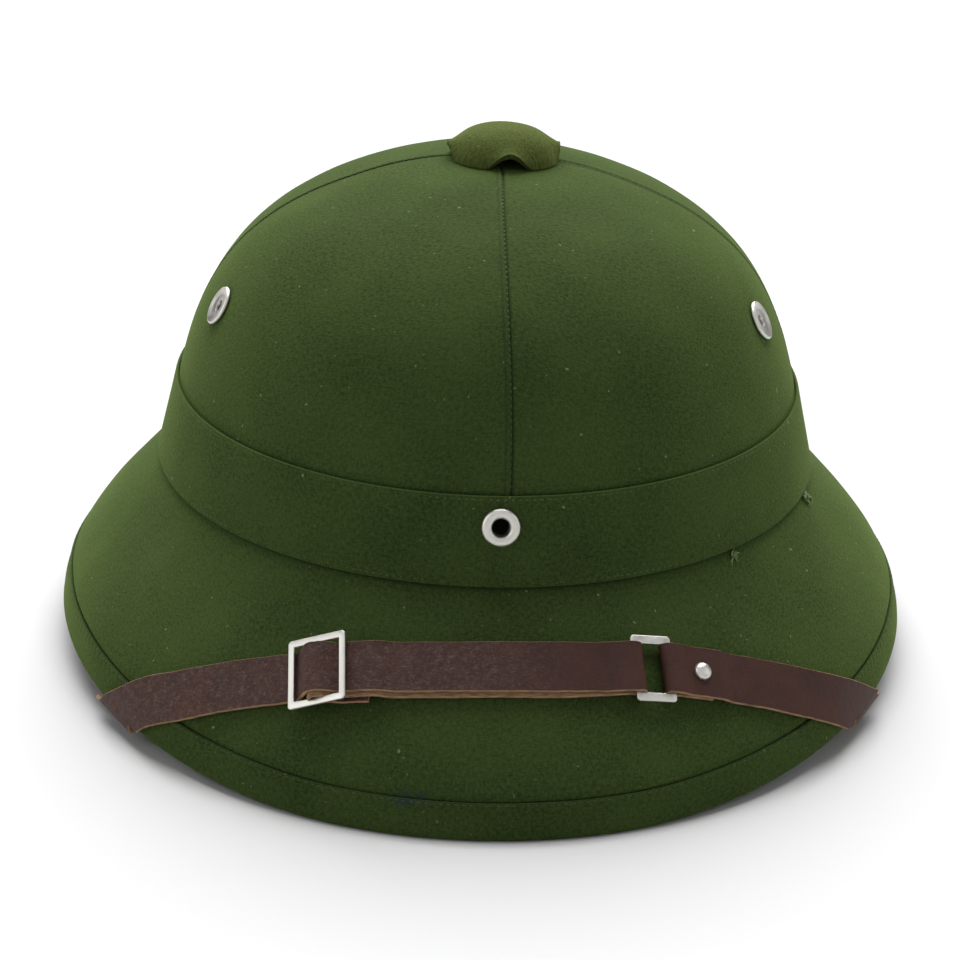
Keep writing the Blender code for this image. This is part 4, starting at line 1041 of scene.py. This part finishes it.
def make_frame(node, length, height, end_bar, middle, left_over, right_over, along, nickel):
    """A flat pressed frame on the strap: rounded corners, softened edges, maybe a middle bar."""
    inner = length / 2 - SIDE_BAR
    columns = [-length / 2, -inner, *middle, inner, length / 2]
    rows = [-height / 2, -height / 2 + end_bar, height / 2 - end_bar, height / 2]
    piece = grid(node + "_metal", np.array([[(x, y, 0.0) for x in columns] for y in rows]))
    across = len(columns) - 1
    for polygon in piece.data.polygons:
        polygon.select = polygon.index // across == 1 and polygon.index % across in (1, across - 2)
    bpy.context.tool_settings.mesh_select_mode = (False, False, True)
    bpy.ops.object.mode_set(mode="EDIT")
    bpy.ops.mesh.delete(type="FACE")
    bpy.ops.mesh.select_all(action="SELECT")
    bpy.ops.mesh.extrude_region_move(TRANSFORM_OT_translate={"value": (0, 0, BAR_THICKNESS)})
    bpy.ops.mesh.select_all(action="SELECT")
    bpy.ops.transform.translate(value=(0, 0, -BAR_THICKNESS / 2))
    bpy.ops.mesh.normals_make_consistent(inside=False)
    bpy.ops.mesh.select_all(action="DESELECT")
    bpy.context.tool_settings.mesh_select_mode = (False, True, False)
    bpy.ops.object.mode_set(mode="OBJECT")
    corner = Vector((length / 2, height / 2))
    for edge in piece.data.edges:
        start, stop = [piece.data.vertices[index].co for index in edge.vertices]
        upright = abs(start.z - stop.z) > BAR_THICKNESS / 2
        edge.select = upright and (Vector((abs(start.x), abs(start.y))) - corner).length < 1e-6
    bpy.ops.object.mode_set(mode="EDIT")
    bpy.ops.mesh.bevel(offset=0.0011, segments=5)
    bpy.ops.object.mode_set(mode="OBJECT")
    soften = piece.modifiers.new("soften", "BEVEL")
    soften.width = 0.00028
    soften.segments = 3
    soften.limit_method = "ANGLE"
    soften.angle_limit = math.radians(50)
    apply_modifiers(piece)
    point, travel, normal, _ = route_frame(along)
    tilt = math.asin((right_over - left_over) / (length - BAR_WIDTH))
    axis = normal * math.cos(tilt) - travel * math.sin(tilt)
    stand(piece, point + normal * (left_over + right_over) / 2, axis, travel)
    finish_piece(piece, [nickel], node)


def make_stud(nickel):
    """The domed stud that holds the short strap's fold closed."""
    point, _, normal, _ = route_frame(RING + RING_BAR + STUD_DISTANCE)
    top = LEVEL + LAYER + LEATHER / 2 + 0.0001
    profile = [(0.0, top + STUD_RISE)]
    for turn in np.linspace(0.15, 1, 9) * math.pi / 2:
        profile.append((STUD_RADIUS * math.sin(turn), top + STUD_RISE * math.cos(turn) ** 0.8))
    profile += [(STUD_RADIUS - 0.0003, top), (0.001, top), (0.001, STRAP_LIFT), (0.0, STRAP_LIFT)]
    stud = turned("strap_stud_metal", profile, 48)
    stand(stud, point, normal)
    finish_piece(stud, [nickel], "strap_stud")


def stitches(name, places, normals, finish, sink):
    """A row of stitches along a line: one small loop of thread, copied."""
    deselect()
    bpy.ops.mesh.primitive_uv_sphere_add(segments=6, ring_count=5, radius=1)
    piece = bpy.context.object
    shape = np.array([vertex.co[:] for vertex in piece.data.vertices])
    shape = shape * (STITCH_LENGTH / 2, THREAD_RADIUS, THREAD_RADIUS)
    faces = [tuple(polygon.vertices) for polygon in piece.data.polygons]
    travel = np.gradient(places, axis=0)
    lengths = travelled(places)
    all_places = []
    all_faces = []
    for spot in (np.arange(int(lengths[-1] / STITCH_PITCH)) + 0.5) * STITCH_PITCH:
        normal = unit(between(spot, lengths, normals))
        direction = unit(between(spot, lengths, travel))
        axes = np.array([direction, unit(np.cross(normal, direction)), normal])
        all_faces += [tuple(index + len(all_places) * len(shape) for index in face) for face in faces]
        all_places.append(shape @ axes + between(spot, lengths, places) - sink * normal)
    piece.data.clear_geometry()
    piece.data.from_pydata([tuple(row) for row in np.concatenate(all_places)], [], all_faces)
    piece.name = name
    finish_piece(piece, [finish], smooth=80)


def make_stitching(thread, pale_thread):
    """Stitches beside the crown's seams, along the band's edges and along the binding."""
    heights = np.linspace(BAND_FOOT + BAND_HEIGHT + 0.0015, CROWN_TOP - 0.0015, 90)
    radius = crown_share(heights) * CROWN_MEAN_RADIUS
    seen = radius > BUTTON_RADIUS * 0.9
    for name, seam in zip(("front", "right", "back", "left"), seam_angles(radius, crown_lean(heights))):
        line = seam - 0.0004 / radius
        normals = crown_normal(line, heights)
        places = crown_point(line, heights)
        stitches("stitches_" + name, places[seen], normals[seen], thread, 0.00008)
    angles = np.linspace(0, 2 * math.pi, 721)
    for name, share in (("top", 0.955), ("foot", 0.04)):
        height = BAND_FOOT + share * BAND_HEIGHT + 0 * angles
        normals = crown_normal(angles, height)
        places = crown_point(angles, height) + (CLEARANCE + BAND_CLOTH) * normals
        stitches("band_stitches_" + name, places, normals, pale_thread, 0.00016)
    shares = shares_above_edge(angles, [0.0103])[:, 0]
    normals = brim_normal(angles, shares)
    places = brim_point(angles, shares) + 0.0003 * normals
    stitches("binding_stitches", places, normals, thread, 0.0001)


def make_fibres(name, angle, share, count, length, radius, curl, finish, seed):
    """A bunch of loose fibres that lies on the brim: thin bent rods, thickest in the middle."""
    centre = brim_point(angle, share)
    normal = brim_normal(angle, share)
    spin = np.random.default_rng(seed)
    deselect()
    bpy.ops.mesh.primitive_cylinder_add(vertices=5, radius=1, depth=1, end_fill_type="TRIFAN")
    piece = bpy.context.object
    side = unit(np.cross(normal, (0.3, 0.2, 1.0)))
    other = np.cross(normal, side)
    ring = np.linspace(0, 2 * math.pi, 6)[:-1]
    places = []
    faces = []
    for first in range(0, 40 * count, 40):
        heading = spin.uniform(0, 2 * math.pi)
        bend = spin.normal() * curl
        start = centre + side * spin.normal() * length * 0.22 + other * spin.normal() * length * 0.22
        own = length * spin.uniform(0.5, 1.1)
        for step in np.linspace(0, 1, 8):
            turn = heading + bend * step
            direction = side * math.cos(turn) + other * math.sin(turn)
            start = start + direction * own / 7
            lift = radius + 0.35 * own * math.sin(math.pi * step) * abs(bend) / (1 + abs(bend))
            thin = radius * (0.35 + 0.65 * math.sin(math.pi * (0.1 + 0.8 * step)))
            edge = np.cross(direction, normal)
            places += [start + normal * (lift + thin * math.sin(t)) + edge * thin * math.cos(t) for t in ring]
        for low in range(first, first + 35, 5):
            faces += [(low + a, low + b, low + 5 + b, low + 5 + a) for a, b in zip(range(5), (1, 2, 3, 4, 0))]
        faces += [tuple(range(first + 4, first - 1, -1)), tuple(range(first + 35, first + 40))]
    piece.data.clear_geometry()
    piece.data.from_pydata([tuple(place) for place in places], [], faces)
    piece.name = name
    merge(piece)
    finish_piece(piece, [finish], smooth=80)


def make_lint(pale_thread, loose_cotton):
    """A knotted thread end beside the band, a tuft of lint below it, and loose fibres."""
    spots = [
        ("thread_knot", 72.0, 0.1, 12, 0.0034, 0.0005, 3.0, loose_cotton),
        ("lint_tuft", 44.8, 0.078, 14, 0.003, 0.00022, 1.6, loose_cotton),
        ("fibres_left", -31.0, 0.3, 3, 0.0022, 0.00008, 1.2, pale_thread),
        ("fibres_right", 50.0, 0.25, 2, 0.0024, 0.00008, 1.2, pale_thread),
        ("fibres_front", 3.0, 0.75, 2, 0.002, 0.00008, 1.5, pale_thread),
    ]
    for seed, (name, degrees, *sizes) in enumerate(spots, 1):
        make_fibres(name, math.radians(degrees), *sizes, seed)


def make_stage():
    """A pale floor, soft light from above and the sides, and light that only the metal shows."""
    deselect()
    bpy.ops.mesh.primitive_plane_add(size=14, location=(0, 0, -0.0001))
    floor = bpy.context.object
    floor.name = "floor"
    paper = Finish("white_paper", Roughness=0.85, Specular_IOR_Level=0.1)
    paper.shader.inputs["Base Color"].default_value = linear(PAPER)
    floor.data.materials.append(paper.material)
    world = bpy.data.worlds.new("studio")
    world.use_nodes = True
    sky = world.node_tree.nodes["Background"].inputs
    sky["Color"].default_value = (0.98, 0.99, 1.0, 1.0)
    sky["Strength"].default_value = 0.15
    bpy.context.scene.world = world
    bpy.context.scene.view_settings.view_transform = "Standard"
    lights = [
        ("light_above_and_behind", (0.0, 0.68, 0.85), 5.3, 60),
        ("light_left", (-1.0, -0.1, 0.45), 0.8, 50),
        ("light_right", (1.0, -0.1, 0.45), 0.6, 50),
        ("light_for_metal", (-0.2, -0.9, 0.5), 1.6, 120),
    ]
    for name, place, power, spread in lights:
        deselect()
        bpy.ops.object.light_add(type="SUN", location=place)
        lamp = bpy.context.object
        lamp.name = name
        lamp.data.angle = math.radians(spread)
        lamp.data.energy = power
        lamp.rotation_euler = Vector(place).to_track_quat("Z", "Y").to_euler()
        lamp.visible_diffuse = name != "light_for_metal"


def make_camera():
    """The photograph's camera, 950 mm from the middle of the hat, which is a little off its centre."""
    lens = bpy.data.cameras.new("photo_camera")
    lens.sensor_width = 36
    lens.lens = 110.1
    lens.shift_x = -0.0066
    lens.shift_y = -0.0768
    camera = bpy.data.objects.new("photo_camera", lens)
    bpy.context.scene.collection.objects.link(camera)
    turn = Matrix.Rotation(math.radians(-0.6), 4, "Z") @ Matrix.Rotation(math.radians(90 - 19.79), 4, "X")
    turn = turn @ Matrix.Rotation(math.radians(1.76), 4, "Z")
    camera.matrix_world = Matrix.Translation((0, 0, 0.07)) @ turn @ Matrix.Translation((0, 0, 0.95))
    bpy.context.scene.camera = camera


def main():
    """Dresses the frame, and makes the stage."""
    make_camera()
    make_stage()
    cotton = woven_cotton("dyed_cotton_twill", COTTON, COTTON_DEEP, COTTON_PALE)
    scuffed = woven_cotton("scuffed_cotton_twill", COTTON, COTTON_DEEP, COTTON_PALE, scuffed_at=SCUFF_PLACE)
    button_cotton = woven_cotton("button_cotton_twill", BUTTON_COTTON, BUTTON_DEEP, COTTON_PALE, 0.0005)
    thread = sewing_thread("dark_sewing_thread", THREAD_AND_PAINTED_SHADE)
    pale_thread = sewing_thread("pale_sewing_thread", PALE_THREAD)
    nickel = nickel_plate()
    hide = raw_hide()
    make_crown(cotton)
    make_brim(scuffed)
    make_hat_band(cotton)
    make_binding(scuffed)
    make_button(button_cotton)
    make_eyelets(nickel)
    make_long_strap([dyed_leather("oxblood_leather_worn", 0.03), hide])
    make_short_strap([dyed_leather("oxblood_leather", 0.0), hide])
    slide = (SLIDE_LENGTH + 0.001, SLIDE_HEIGHT, 0.0021, (-SIDE_BAR / 2, SIDE_BAR / 2))
    make_frame("strap_slide", *slide, SLIDE_LEFT_LEVEL, SLIDE_RIGHT_LEVEL, SLIDE, nickel)
    ring = (RING_LENGTH, RING_HEIGHT + 0.0009, 0.0026, ())
    make_frame("strap_ring", *ring, BAR_LEVEL, BAR_LEVEL, RING, nickel)
    make_stud(nickel)
    make_stitching(thread, pale_thread)
    make_lint(pale_thread, sewing_thread("loose_cotton_lint", LOOSE_COTTON))
    for name in ("button_post", "anchor_left", "anchor_right"):
        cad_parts[name].data.materials.clear()
        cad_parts[name].data.materials.append(nickel)


main()
